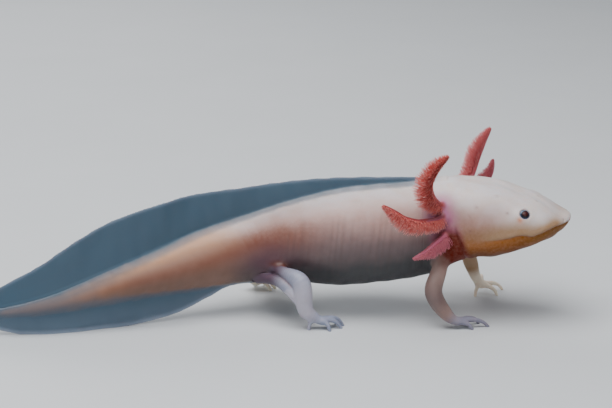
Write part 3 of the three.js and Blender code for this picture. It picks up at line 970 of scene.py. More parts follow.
def markings(points):
    """Every marking's strength at each point, from 0 to 1, by the body's own places and angles. Several
    are painted shade and some painted light, not the skin's own colour. The body's markings carry on
    under the limbs, whose own are laid over them."""
    place = locate(points)
    back, phi, out = place["back"], under_angle(place), body_distance(place)
    s, t = mouth_height(place), fold_gap(place)
    share = place["height"] / np.where(place["height"] > 0, place["rise"], place["drop"] + 1e-6)
    arm, arm_reach = limb_share(points, out, ("front_right",))
    leg, leg_reach = limb_share(points, out, ("hind_right",))
    far, far_reach = limb_share(points, out, ("front_left", "hind_left"))
    gills, gill_reach = limb_share(points, out, ("gill",))
    # The near arm's tan-pink is partly painted shade, darker than its skin's own tone
    arm = arm * fade(0.1, 0.38, arm_reach)
    # Painted shade where the near thigh leaves the body
    thigh_root = leg * fade(0.5, 0.24, leg_reach)
    leg = leg * fade(0.24, 0.56, leg_reach)
    # Far legs: painted lighter than the near ones, as painted light against the shade beneath the body;
    # the tan above their hands and feet is partly painted shade
    far = far * fade(0.1, 0.4, far_reach)
    gills = gills * fade(0.04, 0.2, gill_reach)
    hand = arm * fade(0.8, 1, arm_reach)
    # Fin: the blue-grey is mostly painted, the dark water seen through the thin fin, not the fin's own
    # colour
    soft = np.where(place["height"] > 0, 0.6, 1.6)
    blade = fade(-1.6 - soft, 2.4 + soft, out)
    blade = blade * fade(4.5, 3.0, np.abs(place["sideways"])) * fade(44, 60, back)
    upper_gap = read(UPPER_EDGE, back)[:, 0] - points[:, 2]
    lower_gap = points[:, 2] - np.maximum(read(LOWER_EDGE, back)[:, 0], 0)
    low_rim = 0.22 * fade(12, 0, lower_gap) + 0.78 * fade(2.2, 0.4, lower_gap)
    rim = blade * np.maximum(0.4 * fade(1.5, 0.3, upper_gap), low_rim)
    # Lower jaw, chin, throat and lower cheek: their yellow-orange, darkest underneath, is partly
    # painted warm light bounced up from below and painted shade under the head
    softness = 0.3 + 3.4 * fade(18, 34, back)
    jaw = fade(softness, -softness, s + 1.6 * fade(24, 36, back)) * fade(44, 38, back)
    roots = np.array([spot(line[1]) * 0.6 + spot(line[0]) * 0.4 for line, *_ in GILLS.values()])
    near_gill = np.min(np.linalg.norm(points[:, None] - roots, axis=2), axis=1)
    eye_spot = surface_place(16.5, 150.5)
    lip_spot = surface_place(6.4, 172)
    lip_patch = 0.2 * ridge(away_from(lip_spot, points), 2.2)
    lip_edge = fade(np.clip(1.6 + 0.5 * back, 0, 8), 0.8, s) * fade(-1.5, 5, back) * fade(36, 22, back)
    # Rib streaks: dark streaks down the flanks, painted shade as in the costal grooves
    along = back + 0.12 * place["height"]
    ribs = fade(-0.7, 1, np.sin(2.3 * along + 1.1 * np.sin(0.71 * along)))
    ribs = ribs * (0.65 + 0.35 * np.sin(0.37 * along + 1))
    ribs = ribs * fade(-54, -14, phi) * fade(50, 14, phi) * fade(56, 64, back) * fade(120, 108, back)
    trunk = fade(38, 54, back) * fade(134, 116, back)
    lean = 0.4 - 0.5 * fade(112, 150, back)
    return {
        # Flank, lower flank and belly darken down the sides to the underside: painted shade of light
        # from above, with some of the flank's pink the skin's own
        "flank": fade(-80, -34, phi) * fade(36, 58, back),
        "low_flank": fade(-38 - 12 * fade(66, 92, back), 2, phi) * trunk,
        # Belly: painted shade, far darker than the skin's own pale grey there
        "belly": fade(-12, 40, phi) * trunk * (1 - 0.15 * ridge(back - 97, 13)),
        "tail": fade(0, 18, back - 104 - 24 * np.clip(share, 0, 1)),
        "streak": ridge(share - lean, 0.5) * fade(86, 112, back) * fade(228, 190, back),
        # Darker on the tail's underside: partly painted shade of light from above
        "tail_low": fade(0.2, -0.5, share) * fade(108, 128, back),
        "tail_band": np.maximum(
            ridge(share - 0.85, 0.32) * fade(120, 140, back),
            0.7 * ridge(share - 0.3, 0.9) * fade(160, 196, back),
        ),
        # Painted shade in the hollow ahead of the hind leg
        "groin": ridge(back - 116, 12) * ridge(phi - 12, 30),
        "ribs": ribs,
        "cheek": fade(-66, -18, phi) * fade(12, 32, back) * fade(50, 44, back),
        # Lower cheek: partly painted shade low on the head's side
        "cheek_low": fade(7.5, 0.5, s) * fade(14, 26, back) * fade(50, 43, back),
        "jaw": jaw,
        "jaw_front": jaw * fade(22, 8, back),
        "throat": jaw * fade(-0.5, -8, s),
        # Gill slits: dark red, partly the red flesh and partly painted shade in the pocket below the
        # gills
        "slits": fade(-3.8, 0.4, t) * fade(13, 5, t) * fade(-22, 0, phi) * fade(88, 50, phi),
        "lip_line": ridge(s + 0.05, 0.3) * fade(MOUTH_CORNER, MOUTH_CORNER - 12, back),
        "peach": ridge(away_from(eye_spot, points), 1.1),
        "lip_tan": np.maximum(lip_patch, lip_edge) * fade(-0.3, 0.2, s),
        # Dull red low between the gills: partly painted shade of the fringe hidden there
        "gill_base": fade(6, 2, near_gill) * fade(-36, -14, phi),
        "lilac": fade(9, 2.4, near_gill),
        "crease": np.maximum(crease(points, out, "hind_right"), crease(points, out, "hind_left")),
        "blade": blade,
        "rim": rim,
        "arm": arm,
        "arm_shade": arm * ridge(arm_reach - 0.62, 0.2),
        "leg": leg,
        "thigh_root": thigh_root,
        "cool": leg * (fade(0.66, 0.44, leg_reach) + fade(0.8, 1, leg_reach)) + hand,
        "far": far,
        "far_tan": far * fade(0.86, 0.66, far_reach),
        "inner": leg * inner_crease(points) * fade(0.3, 0.38, leg_reach) * fade(0.58, 0.44, leg_reach),
        "gill": gills,
        # Deeper red at the gill roots: partly painted shade where they leave the head
        "gill_root": gills * fade(0.5, 0.1, gill_reach),
        "gill_cool": gills * gill_coolness(points),
        "gill_edge": gills * gill_edge(points),
        "freckle": freckles(points),
    }


def gill_coolness(points):
    """How lilac the nearest gill is."""
    middles = np.array([spot(line)[2:].mean(0) for line, *_ in GILLS.values()])
    nearest = np.argmin(np.linalg.norm(points[:, None] - middles, axis=2), axis=1)
    return np.array([cool for *_, cool in GILLS.values()])[nearest]


def gill_edge(points):
    """1 along the upper side of the near middle gill's stalk."""
    limb = limb_named("gill_right_2")
    away, share = tube_distance(points, limb.line, limb.radius)
    return fade(-0.1, 0.7, above_line(points, limb, share)) * fade(1.6, 0.8, away)


def freckles(points):
    """Small spots on both sides of the head and neck."""
    found = np.zeros(len(points))
    for back, angle in FRECKLES:
        for turned in (angle, 180 - angle):
            spot_at = surface_place(back, turned)
            found = np.maximum(found, ridge(away_from(spot_at, points), FRECKLE_SIZE))
    return found


def add_attributes(mesh, values):
    for name, strength in values.items():
        attribute = mesh.attributes.new(name, "FLOAT", "POINT")
        attribute.data.foreach_set("value", np.asarray(strength, np.float32))


# ---- Materials ----------------------------------------------------------------------------------


def linear(colour):
    """A display colour as the shader's linear values."""
    c = np.asarray(colour, float)
    return (*np.where(c <= 0.04045, c / 12.92, ((c + 0.055) / 1.055) ** 2.4), 1.0)


class Nodes:
    """A material's node tree with short ways to add and link what it needs."""

    def __init__(self, name):
        self.material = bpy.data.materials.new(name)
        self.material.use_nodes = True
        self.tree = self.material.node_tree
        self.shader = self.tree.nodes["Principled BSDF"]
        self.place = self.add("ShaderNodeTexCoord").outputs["Object"]

    def add(self, kind, **settings):
        node = self.tree.nodes.new(kind)
        for key, value in settings.items():
            setattr(node, key, value)
        return node

    def link(self, a, b):
        self.tree.links.new(a, b)

    def feed(self, socket, value):
        """Links a socket or sets a plain value."""
        if isinstance(value, bpy.types.NodeSocket):
            self.link(value, socket)
        else:
            socket.default_value = value

    def attribute(self, name):
        return self.add("ShaderNodeAttribute", attribute_name=name).outputs["Fac"]

    def noise(self, size, detail=3.0, rough=0.55):
        """Noise whose lumps are about the given size in millimetres."""
        node = self.add("ShaderNodeTexNoise")
        self.link(self.place, node.inputs["Vector"])
        node.inputs["Scale"].default_value = 1 / (size * MM)
        node.inputs["Detail"].default_value = detail
        node.inputs["Roughness"].default_value = rough
        return node.outputs["Fac"]

    def cells(self, size):
        node = self.add("ShaderNodeTexVoronoi", feature="F1")
        self.link(self.place, node.inputs["Vector"])
        node.inputs["Scale"].default_value = 1 / (size * MM)
        return node.outputs["Distance"]

    def sum(self, kind, a, b=0.0, c=0.0):
        node = self.add("ShaderNodeMath", operation=kind)
        for socket, value in zip(node.inputs, (a, b, c)):
            self.feed(socket, value)
        return node.outputs[0]

    def spread(self, value, low, high, to_low=0.0, to_high=1.0):
        node = self.add("ShaderNodeMapRange", interpolation_type="SMOOTHSTEP")
        for socket, given in zip(node.inputs, (value, low, high, to_low, to_high)):
            self.feed(socket, given)
        return node.outputs[0]

    def mix(self, factor, a, b, kind="MIX"):
        node = self.add("ShaderNodeMix", data_type="RGBA", blend_type=kind)
        self.feed(node.inputs["Factor"], factor)
        self.feed(node.inputs["A"], a)
        self.feed(node.inputs["B"], b)
        return node.outputs["Result"]

    def bump(self, height, distance, strength=1.0):
        node = self.add("ShaderNodeBump")
        node.inputs["Strength"].default_value = strength
        node.inputs["Distance"].default_value = distance * MM
        self.link(height, node.inputs["Height"])
        self.link(node.outputs["Normal"], self.shader.inputs["Normal"])

    def set(self, **values):
        for name, value in values.items():
            self.feed(self.shader.inputs[name.replace("_", " ")], value)


# The markings, painted shade and painted light among them, from the ground up, each with its strength
SKIN_LAYERS = [
    ("flank", 1.0),
    ("low_flank", 1.0),
    ("tail", 1.0),
    ("streak", 0.85),
    ("tail_low", 0.85),
    ("tail_band", 0.8),
    ("belly", 1.15),
    ("ribs", 0.24),
    ("groin", 0.9),
    ("cheek", 1.0),
    ("cheek_low", 1.1),
    ("jaw", 1.25),
    ("jaw_front", 0.9),
    ("throat", 1.0),
    ("lip_tan", 1.15),
    ("peach", 0.95),
    ("lilac", 1.0),
    ("gill_base", 0.8),
    ("slits", 1.45),
    ("lip_line", 0.4),
    ("blade", 1.35),
    ("rim", 0.6),
    ("arm", 1.0),
    ("arm_shade", 0.7),
    ("thigh_root", 1.0),
    ("leg", 1.0),
    ("cool", 0.75),
    ("far", 1.0),
    ("far_tan", 0.85),
    ("crease", 1.0),
    ("inner", 0.6),
    ("gill", 1.2),
    ("gill_root", 0.6),
    ("gill_cool", 0.9),
    ("gill_edge", 0.8),
    ("freckle", 0.6),
]


def skin_material(tints):
    """Layers of tint over a pale ground, each by its own marking or painted shade and light, with
    mottling and a wet grain.
    """
    n = Nodes("skin")
    blotch = n.noise(7, 4)
    grain = n.noise(1.3, 5, 0.65)
    colour = n.mix(n.spread(blotch, 0.35, 0.65), linear(tints["ground"]), linear(tints["ground_warm"]))
    for name, strength in SKIN_LAYERS:
        wander = n.sum("MULTIPLY_ADD", blotch, 0.5, 0.75)
        factor = n.sum("MULTIPLY", n.attribute(name), n.sum("MULTIPLY", wander, strength))
        colour = n.mix(n.sum("MINIMUM", factor, 1.0), colour, linear(tints[name]))
    bare = n.sum("SUBTRACT", 1.0, n.attribute("blade"))
    dark = n.sum("ADD", n.attribute("low_flank"), n.attribute("tail"))
    pale = n.sum("MULTIPLY", bare, n.sum("SUBTRACT", 1.0, n.sum("MINIMUM", dark, 1.0)))
    specks = n.sum("MULTIPLY", n.spread(grain, 0.3, 0.75, 0.0, 0.14), pale)
    colour = n.mix(specks, colour, linear(tints["speck"]))
    n.link(colour, n.shader.inputs["Base Color"])
    height = n.sum("ADD", n.sum("MULTIPLY", grain, 0.6), n.sum("MULTIPLY", n.noise(0.45, 2), 0.3))
    pores = n.spread(n.cells(1.1), 0.0, 0.32, -0.25, 0.0)
    relief_share = n.sum("MULTIPLY_ADD", bare, 0.7, 0.3)
    n.bump(n.sum("MULTIPLY", n.sum("ADD", height, pores), relief_share), 0.12, 0.6)
    n.link(n.spread(grain, 0.25, 0.8, 0.38, 0.5), n.shader.inputs["Roughness"])
    plain = n.sum("MAXIMUM", n.attribute("jaw"), n.attribute("slits"))
    n.link(n.sum("MULTIPLY_ADD", plain, -0.42, 0.5), n.shader.inputs["Specular IOR Level"])
    n.link(n.sum("MULTIPLY_ADD", plain, -0.1, 0.12), n.shader.inputs["Coat Weight"])
    n.set(
        Subsurface_Weight=0.18,
        Subsurface_Radius=(1.0, 0.42, 0.3),
        Subsurface_Scale=2.2 * MM,
        Coat_Roughness=0.22,
        IOR=1.4,
    )
    return n.material


def eye_material(tints):
    """Rings round the way the eye looks: pupil, iris and a pale rim, with a painted highlight, under a
    wet clear coat.
    """
    n = Nodes("eye")
    ring = n.attribute("ring")
    flecks = n.spread(n.noise(0.35, 3), 0.3, 0.7)
    iris = n.mix(flecks, linear(tints["iris"]), linear(tints["iris_dark"]))
    colour = n.mix(n.spread(ring, 0.40, 0.50), linear(tints["pupil"]), linear(tints["pupil_edge"]))
    colour = n.mix(n.spread(ring, 0.56, 0.64), colour, iris)
    colour = n.mix(n.spread(ring, 0.78, 0.90), colour, linear(tints["eye_rim"]))
    # Painted highlight: a pale crescent of reflected light near the iris's upper edge
    colour = n.mix(n.attribute("arc"), colour, linear(tints["eye_arc"]))
    n.link(colour, n.shader.inputs["Base Color"])
    n.set(Roughness=0.5, Coat_Weight=0.22, Coat_Roughness=0.05, IOR=1.3)
    return n.material


def filament_material(tints):
    """From a deep red root to a warm tip, darker in some filaments and cooler on the lilac gills."""
    n = Nodes("filaments")
    along, vary = n.attribute("along"), n.attribute("vary")
    colour = n.mix(n.spread(along, 0.0, 0.5), linear(tints["filament_root"]), linear(tints["filament"]))
    colour = n.mix(n.spread(along, 0.7, 1.0, 0.0, 0.7), colour, linear(tints["filament_tip"]))
    colour = n.mix(n.sum("MULTIPLY", vary, 0.32), colour, linear(tints["filament_root"]))
    colour = n.mix(n.attribute("cool"), colour, linear(tints["filament_lilac"]))
    n.link(colour, n.shader.inputs["Base Color"])
    n.set(
        Roughness=0.5,
        Subsurface_Weight=0.15,
        Subsurface_Scale=0.6 * MM,
        Coat_Weight=0.05,
        Coat_Roughness=0.3,
    )
    return n.material


# ---- Eyes ---------------------------------------------------------------------------------------


def eye_mesh(node, rings=48, sides=64):
    """A ball about the way the eye looks, with a shallow bulge over the pupil: radius plus
    0.14 * bell(polar / 30 degrees). The ring attribute is the polar angle over 60 degrees, and arc is
    a painted highlight: a pale crescent in the iris towards the top and back."""
    centre, look = eye_place(node)
    polar = np.linspace(0, np.pi, rings + 2)[1:-1, None]
    angle = np.linspace(0, 2 * np.pi, sides, endpoint=False)[None]
    across = unit(np.cross(look, [0.0, 0.0, 1.0]))
    over = np.cross(look, across)
    radius = EYE_RADIUS - 0.06 + 0.14 * ridge(np.degrees(polar), 30)
    way = np.cos(polar)[..., None] * look + np.sin(polar)[..., None] * (
        np.cos(angle)[..., None] * across + np.sin(angle)[..., None] * over
    )
    rows = centre + way * (radius + 0 * angle)[..., None]
    front = centre + look * (EYE_RADIUS + 0.08)
    points, faces = closed(rows, front, centre - look * EYE_RADIUS)
    mesh = new_mesh(node + "_ball", points * MM, halves(faces))
    facing = np.clip(unit(points - centre) @ look, -1, 1)
    ring = np.degrees(np.arccos(facing)) / 60
    aside = unit(points - centre - np.outer((points - centre) @ look, look) + 1e-9)
    # Where the painted highlight lies: a crescent towards the top and back
    arc = ridge(ring - 0.74, 0.13) * fade(0.45, 0.9, aside @ unit(np.array([-0.5, 0.0, 0.86])))
    add_attributes(mesh, {"ring": ring, "arc": arc})
    return mesh


# ---- Gill filaments -----------------------------------------------------------------------------

FILAMENT_RADIUS = 0.13
FILAMENT_ROWS = range(-100, 101, 20)  # angles from the way the fringe points
FILAMENT_STEP = 0.27


def filament_mesh(name):
    """Rows of fine tapering filaments down a gill's stalk. Each leaves square to the stalk and bends
    towards its tip: root + reach * (way * t + lean * tip * t^2), with its radius falling as 1 - t."""
    line, fringe, widths, cool = GILLS[name]
    rng = np.random.default_rng(sum(map(ord, name)))
    length = np.linalg.norm(np.diff(spot(line), axis=0), axis=1).sum()
    stations = np.linspace(0.04, 0.98, int(length * 0.94 / FILAMENT_STEP))
    share, row = np.meshgrid(stations, np.radians(FILAMENT_ROWS), indexing="ij")
    share, row = share.ravel(), row.ravel()
    share = share + rng.uniform(-0.5, 0.5, len(share)) * (stations[1] - stations[0])
    row = row + rng.normal(0, 0.12, len(row))
    place, direction, _ = smooth_curve(spot(line), 0, np.clip(share, 0, 0.985))
    web = gill_web(direction, fringe)
    face = np.cross(direction, web)
    out = unit(web * np.cos(row * 0.8)[:, None] + face * np.sin(row * 0.8)[:, None])
    thick = stalk_radius(share)
    table = [(0, widths[0] * 0.6), *zip(FRINGE_STATIONS, widths), (1, STALK[1])]
    full = read(table, share)[:, 0] * rng.uniform(0.88, 1.0, len(share))
    core = thick * STALK_CORE
    root = place + web * (core * np.cos(row) * 0.8 - (thick - core) * 0.8)[:, None]
    root = root + face * (core * 0.8 * np.sin(row))[:, None]
    reach = np.maximum(full - dot(root - place, web), 0.5) * (0.2 + 0.8 * np.cos(row * 0.85))
    return strands(name + "_filaments", root, out, direction, reach, share, row, rng, cool)


def strands(name, root, out, lean, reach, share, row, rng, cool, rings=5, sides=4):
    """All the filaments of a gill as one mesh, in whole arrays: filament, ring, side."""
    count = len(root)
    t = np.linspace(0, 1, rings)[None, :, None]
    bend = rng.uniform(0.15, 0.45, count)[:, None, None]
    droop = rng.normal(0, 0.05, (count, 3))[:, None]
    reach3 = reach[:, None, None]
    middle = root[:, None] + reach3 * (out[:, None] * t + lean[:, None] * bend * t**2 + droop * t**2)
    tangent = unit(out[:, None] + 2 * (lean[:, None] * bend + droop) * t)
    across = unit(np.cross(tangent, lean[:, None] + 0.01))
    over = np.cross(tangent, across)
    radius = FILAMENT_RADIUS * (1 - 0.55 * t[..., 0] ** 1.5)
    radius = radius * rng.uniform(0.8, 1.2, count)[:, None]
    angle = np.linspace(0, 2 * np.pi, sides, endpoint=False)
    ring = np.cos(angle)[:, None] * across[:, :, None] + np.sin(angle)[:, None] * over[:, :, None]
    rows = middle[:, :, None] + ring * radius[..., None, None]
    tips = middle[:, -1] + tangent[:, -1] * radius[:, -1:]
    per = rings * sides + 2
    points = np.concatenate([rows.reshape(count, -1, 3), middle[:, :1], tips[:, None]], axis=1)
    _, faces = closed(np.zeros((rings, sides, 3)), np.zeros(3), np.zeros(3))
    triangles = halves(faces)
    all_faces = (triangles[None] + per * np.arange(count)[:, None, None]).reshape(-1, 3)
    mesh = new_mesh(name, points.reshape(-1, 3) * MM, all_faces)
    along = np.concatenate([np.repeat(t.ravel(), sides), [0.0, 1.0]])
    around = np.append(np.tile(np.arange(sides), rings), [0, 0]) / sides
    add_attributes(
        mesh,
        {
            "along": np.tile(along, count),
            "vary": np.repeat(rng.uniform(0, 1, count), per),
            "cool": np.full(count * per, cool),
        },
    )
    add_patches(mesh, share, row, along, np.tile(around, count))
    return mesh


PATCH = 0.003


def add_patches(mesh, share, row, along, around):
    """The OFBake map: a filament is a small patch at its root's place, along and round the stalk."""
    count = len(share)
    centre = np.stack([0.05 + 0.9 * share, 0.5 + row / (2 * np.pi) * 0.9], -1)
    offset = np.stack([np.tile(along, count), around], -1) - 0.5
    uv = np.repeat(centre, len(along), axis=0) + offset * PATCH
    corners = np.empty(len(mesh.loops), np.int32)
    mesh.loops.foreach_get("vertex_index", corners)
    layer = mesh.uv_layers.new(name="OFBake")
    layer.data.foreach_set("uv", uv[corners].astype(np.float32).ravel())


# ---- Settings, operators and panel --------------------------------------------------------------


def colour_setting(name, description, colour):
    """A colour property with a default given as 0 to 255 in red, green and blue."""
    return bpy.props.FloatVectorProperty(
        name=name,
        description=description,
        default=tuple(part / 255 for part in colour),
        min=0,
        max=1,
        size=3,
        subtype="COLOR_GAMMA",
    )


class AxolotlTints(bpy.types.PropertyGroup):
    """Colours of the skin, eyes and gills, painted shade and painted light among them."""

    ground: colour_setting("Back", "Pale skin of the head and back", (212, 206, 209))
    ground_warm: colour_setting("Back, warm", "Creamier patches of the back", (213, 202, 198))
    speck: colour_setting("Specks", "Fine grain over the pale skin", (196, 160, 148))
    # Flank, lower flank and belly: painted shade that deepens down the sides; the flank's pink is
    # partly the skin's own
    flank: colour_setting("Flank", "Pinkish sides", (174, 138, 130))
    low_flank: colour_setting("Lower flank", "Mauve-grey lower sides", (112, 92, 92))
    # Rib streaks: painted shade as in the costal grooves
    ribs: colour_setting("Rib streaks", "Dark streaks down the flanks", (84, 66, 62))
    tail: colour_setting("Tail", "Tan-pink flesh of the tail", (162, 126, 110))
    streak: colour_setting("Streak", "Orange-brown streak along the hips", (124, 72, 52))
    # Tail, low: partly painted shade of the tail's underside
    tail_low: colour_setting("Tail, low", "Brown-orange underside of the tail", (108, 78, 64))
    tail_band: colour_setting("Tail, band", "Peach band under the fin", (200, 150, 112))
    belly: colour_setting("Belly", "Dark grey underside", (54, 54, 56))
    # Groin: painted shade in the hollow by the hind leg
    groin: colour_setting("Groin", "Dark mauve hollow by the hind leg", (84, 50, 62))
    # Lower cheek, jaw, chin and throat: yellow-orange partly painted warm light bounced from below,
    # darkening underneath as painted shade
    cheek: colour_setting("Cheek", "Pink behind the jaw", (158, 122, 112))
    cheek_low: colour_setting("Cheek, low", "Brown-orange lower cheek", (134, 92, 60))
    jaw: colour_setting("Lower jaw", "Yellow-orange jaw below the lip", (146, 88, 34))
    jaw_front: colour_setting("Chin", "Dark gold front of the jaw", (114, 70, 6))
    throat: colour_setting("Throat", "Orange-brown throat", (96, 56, 30))
    lip_tan: colour_setting("Lip", "Tan shade above the mouth's line", (150, 118, 86))
    peach: colour_setting("Eye spot", "Peach spot by the eye", (196, 118, 72))
    lilac: colour_setting("Gill bases", "Lilac pink round the gills", (172, 104, 140))
    # Gill slits: partly painted shade in the pocket below the gills
    slits: colour_setting("Gill slits", "Dark red below the gills", (94, 22, 4))
    lip_line: colour_setting("Mouth line", "Shade in the mouth's groove", (104, 64, 38))
    # Fin: mostly painted colour of dark water seen through the thin fin
    blade: colour_setting("Fin", "Smoky blue-grey fins", (62, 86, 104))
    rim: colour_setting("Fin rim", "Pale edge of the fins", (156, 168, 188))
    # Near arm: partly painted shade
    arm: colour_setting("Near arm", "Tan-pink arm", (154, 128, 120))
    arm_shade: colour_setting("Forearm", "Shade on the near forearm", (92, 76, 76))
    leg: colour_setting("Near leg", "Lilac-white hind leg", (182, 177, 190))
    # Thigh root: painted shade where the thigh leaves the body
    thigh_root: colour_setting("Thigh root", "Mauve where the thigh leaves the body", (84, 66, 80))
    cool: colour_setting("Thigh, foot and hand", "Cooler blue-grey skin", (118, 130, 156))
    # Far legs: cream painted light against the shade under the body; their tan upper parts partly
    # painted shade
    far: colour_setting("Far legs", "Cream far legs", (240, 228, 208))
    far_tan: colour_setting("Far legs, upper", "Tan above the far hands and feet", (150, 112, 74))
    inner: colour_setting("Knee fold", "Pink shade between the thigh and its fold", (150, 96, 84))
    crease: colour_setting("Creases", "Orange-brown shade above the thigh", (84, 38, 16))
    gill: colour_setting("Gill stalks", "Red stalks", (184, 72, 68))
    gill_cool: colour_setting("Gill stalks, lilac", "The cooler stalks", (164, 92, 122))
    # Gill bases and roots: partly painted shade about the gill roots
    gill_base: colour_setting("Gill bases, low", "Dull red between the lower gills", (116, 46, 50))
    gill_root: colour_setting("Gill roots", "Deeper red by the head", (128, 40, 40))
    gill_edge: colour_setting("Gill edge", "Dark purple-red top of the middle gill", (96, 26, 40))
    freckle: colour_setting("Freckles", "Small spots on the head", (110, 70, 66))
    pupil: colour_setting("Pupil", "Dark red-brown centre of the eye", (60, 11, 12))
    pupil_edge: colour_setting("Pupil's edge", "Near black round the pupil", (14, 10, 18))
    iris: colour_setting("Iris", "Blue-grey ring", (30, 38, 60))
    iris_dark: colour_setting("Iris, dark", "Darker flecks of the ring", (18, 18, 32))
    # Eye crescent: painted highlight
    eye_arc: colour_setting("Eye crescent", "Pale light along the iris's upper edge", (150, 172, 200))
    eye_rim: colour_setting("Eye rim", "Pale blue edge of the eye", (120, 132, 164))
    filament_root: colour_setting("Filament roots", "Deep red by the stalk", (164, 60, 58))
    filament: colour_setting("Filaments", "Red-orange filaments", (226, 112, 102))
    filament_tip: colour_setting("Filament tips", "Paler ends", (244, 176, 170))
    filament_lilac: colour_setting("Lilac filaments", "The cooler gills", (184, 98, 122))


class AxolotlStage(bpy.types.PropertyGroup):
    """The camera's place and the lights' strengths."""

    distance: bpy.props.FloatProperty(
        name="Distance", description="Camera to the middle of the view", default=0.8, unit="LENGTH"
    )
    elevation: bpy.props.FloatProperty(
        name="Elevation",
        description="How far the camera looks down",
        default=math.radians(15),
        subtype="ANGLE",
    )
    target: bpy.props.FloatVectorProperty(
        name="Target",
        description="The middle of the view",
        default=(0.0172, -0.0033, 0.042878),
        subtype="TRANSLATION",
    )
    lens: bpy.props.FloatProperty(
        name="Lens", description="Focal length", default=123.84, unit="CAMERA"
    )
    key_power: bpy.props.FloatProperty(
        name="Key light", description="Power of the overhead light", default=10.0, unit="POWER"
    )
    fill_power: bpy.props.FloatProperty(
        name="Fill light", description="Power of the front light", default=1.4, unit="POWER"
    )
    back_power: bpy.props.FloatProperty(
        name="Back light", description="Power of the light behind", default=3.0, unit="POWER"
    )
    sky: bpy.props.FloatProperty(
        name="Surroundings", description="Strength of the even pale light", default=0.25
    )


def tints():
    group = bpy.context.scene.axolotl_tints
    return {name: tuple(getattr(group, name)) for name in AxolotlTints.__annotations__}


FLESH = [
    "head",
    "lower_jaw",
    "neck",
    "trunk_front",
    "trunk_rear",
    "tail_base",
    "tail_mid",
    "tail_tip",
    "dorsal_fin",
    "tail_fin_upper",
    "tail_fin_lower",
]
LEG_PARTS = {"front": ("upper_arm", "forearm", "hand"), "hind": ("thigh", "shank", "foot")}


class AXOLOTL_OT_skin(bpy.types.Operator):
    """Make the one skin over the body, fins, legs and gill stalks"""

    bl_idname = "axolotl.skin"
    bl_label = "Skin"

    def execute(self, context):
        mesh = skin_mesh()
        add_attributes(mesh, markings(mesh_points(mesh) / MM))
        mesh.materials.append(skin_material(tints()))
        skin = new_object("skin", mesh)
        legs = [f"{part}_{name}" for name in LEGS for part in LEG_PARTS[name.split("_")[0]]]
        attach(skin, "root")
        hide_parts(*FLESH, *legs, *GILLS)
        return {"FINISHED"}


class AXOLOTL_OT_eyes(bpy.types.Operator):
    """Make both eyes"""

    bl_idname = "axolotl.eyes"
    bl_label = "Eyes"

    def execute(self, context):
        material = eye_material(tints())
        for node in EYE_PARTS:
            mesh = eye_mesh(node)
            mesh.materials.append(material)
            eye = new_object(node + "_ball", mesh)
            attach(eye, "root")
            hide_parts(node)
        return {"FINISHED"}


class AXOLOTL_OT_filaments(bpy.types.Operator):
    """Make the filaments of all six gills"""

    bl_idname = "axolotl.filaments"
    bl_label = "Gill filaments"

    def execute(self, context):
        material = filament_material(tints())
        for name in GILLS:
            mesh = filament_mesh(name)
            mesh.materials.append(material)
            gill = new_object(name + "_filaments", mesh)
            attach(gill, "root")
            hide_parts(name)
        return {"FINISHED"}


FLOOR_HALF = 3.0
FLOOR_TINTS = ((0.60, 0.62, 0.64, 1), (0.64, 0.66, 0.68, 1))
SKY_TINT = (0.86, 0.92, 1.0, 1)
# Each area light's place and size in metres, and the setting that holds its power
LIGHTS = {
    "key_light": ((-0.12, -0.2, 0.8), 0.7, "key_power"),
    "fill_light": ((0.25, -0.9, 0.35), 0.6, "fill_power"),
    "back_light": ((-0.3, 0.7, 0.5), 0.6, "back_power"),
}


def area_light(name, place, aim, size, power):
    """A square soft light at a place, turned to the aim."""
    data = bpy.data.lights.new(name, "AREA")
    data.size = size
    data.energy = power
    light = bpy.data.objects.new(name, data)
    light.location = place
    light.rotation_euler = (Vector(aim) - Vector(place)).to_track_quat("-Z", "Y").to_euler()
    bpy.context.scene.collection.objects.link(light)


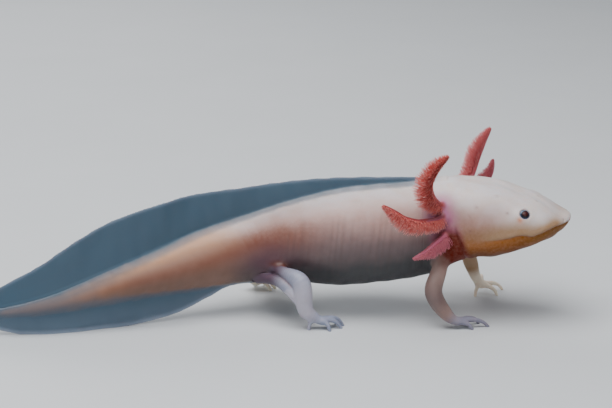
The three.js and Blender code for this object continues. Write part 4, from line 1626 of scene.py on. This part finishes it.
class AXOLOTL_OT_stage(bpy.types.Operator):
    """Make the floor, the lights and the camera"""

    bl_idname = "axolotl.stage"
    bl_label = "Stage"

    def execute(self, context):
        stage = context.scene.axolotl_stage
        plan = FLOOR_HALF * np.array([(-1, -1, 0), (1, -1, 0), (1, 1, 0), (-1, 1, 0)])
        mesh = new_mesh("floor", plan, np.array([[0, 1, 2, 3]]))
        n = Nodes("floor")
        colour = n.mix(n.noise(60, 2), *FLOOR_TINTS)
        n.link(colour, n.shader.inputs["Base Color"])
        n.set(Roughness=0.7)
        mesh.materials.append(n.material)
        floor = new_object("floor", mesh)
        target = Vector(stage.target)
        for name, (place, size, power) in LIGHTS.items():
            area_light(name, place, target, size, getattr(stage, power))
        world = bpy.data.worlds.new("surroundings")
        world.use_nodes = True
        world.node_tree.nodes["Background"].inputs["Color"].default_value = SKY_TINT
        world.node_tree.nodes["Background"].inputs["Strength"].default_value = stage.sky
        context.scene.world = world
        data = bpy.data.cameras.new("camera")
        data.lens = stage.lens
        data.clip_start = 0.01
        camera = bpy.data.objects.new("camera", data)
        away = Vector((0, -math.cos(stage.elevation), math.sin(stage.elevation)))
        camera.location = target + away * stage.distance
        camera.rotation_euler = (-away).to_track_quat("-Z", "Y").to_euler()
        context.scene.collection.objects.link(camera)
        context.scene.camera = camera
        return {"FINISHED"}


OPERATORS = (AXOLOTL_OT_stage, AXOLOTL_OT_skin, AXOLOTL_OT_eyes, AXOLOTL_OT_filaments)


class AXOLOTL_PT_panel(bpy.types.Panel):
    """Lists the axolotl's pieces and its stage"""

    bl_idname = "AXOLOTL_PT_panel"
    bl_label = "Axolotl"
    bl_space_type = "VIEW_3D"
    bl_region_type = "UI"
    bl_category = "Axolotl"

    def draw(self, context):
        for operator in OPERATORS:
            self.layout.operator(operator.bl_idname)
        for group in (context.scene.axolotl_stage, context.scene.axolotl_tints):
            for name in type(group).__annotations__:
                self.layout.prop(group, name)


CLASSES = (AxolotlTints, AxolotlStage, *OPERATORS, AXOLOTL_PT_panel)


def register():
    for each in CLASSES:
        bpy.utils.register_class(each)
    bpy.types.Scene.axolotl_tints = bpy.props.PointerProperty(type=AxolotlTints)
    bpy.types.Scene.axolotl_stage = bpy.props.PointerProperty(type=AxolotlStage)


def unregister():
    del bpy.types.Scene.axolotl_stage
    del bpy.types.Scene.axolotl_tints
    for each in reversed(CLASSES):
        bpy.utils.unregister_class(each)


def corners(box):
    return [[float(x) for x in corner] for corner in box]


def main():
    register()
    for operator in OPERATORS:
        group, name = operator.bl_idname.split(".")
        getattr(getattr(bpy.ops, group), name)()


if __name__ == "__main__":
    main()
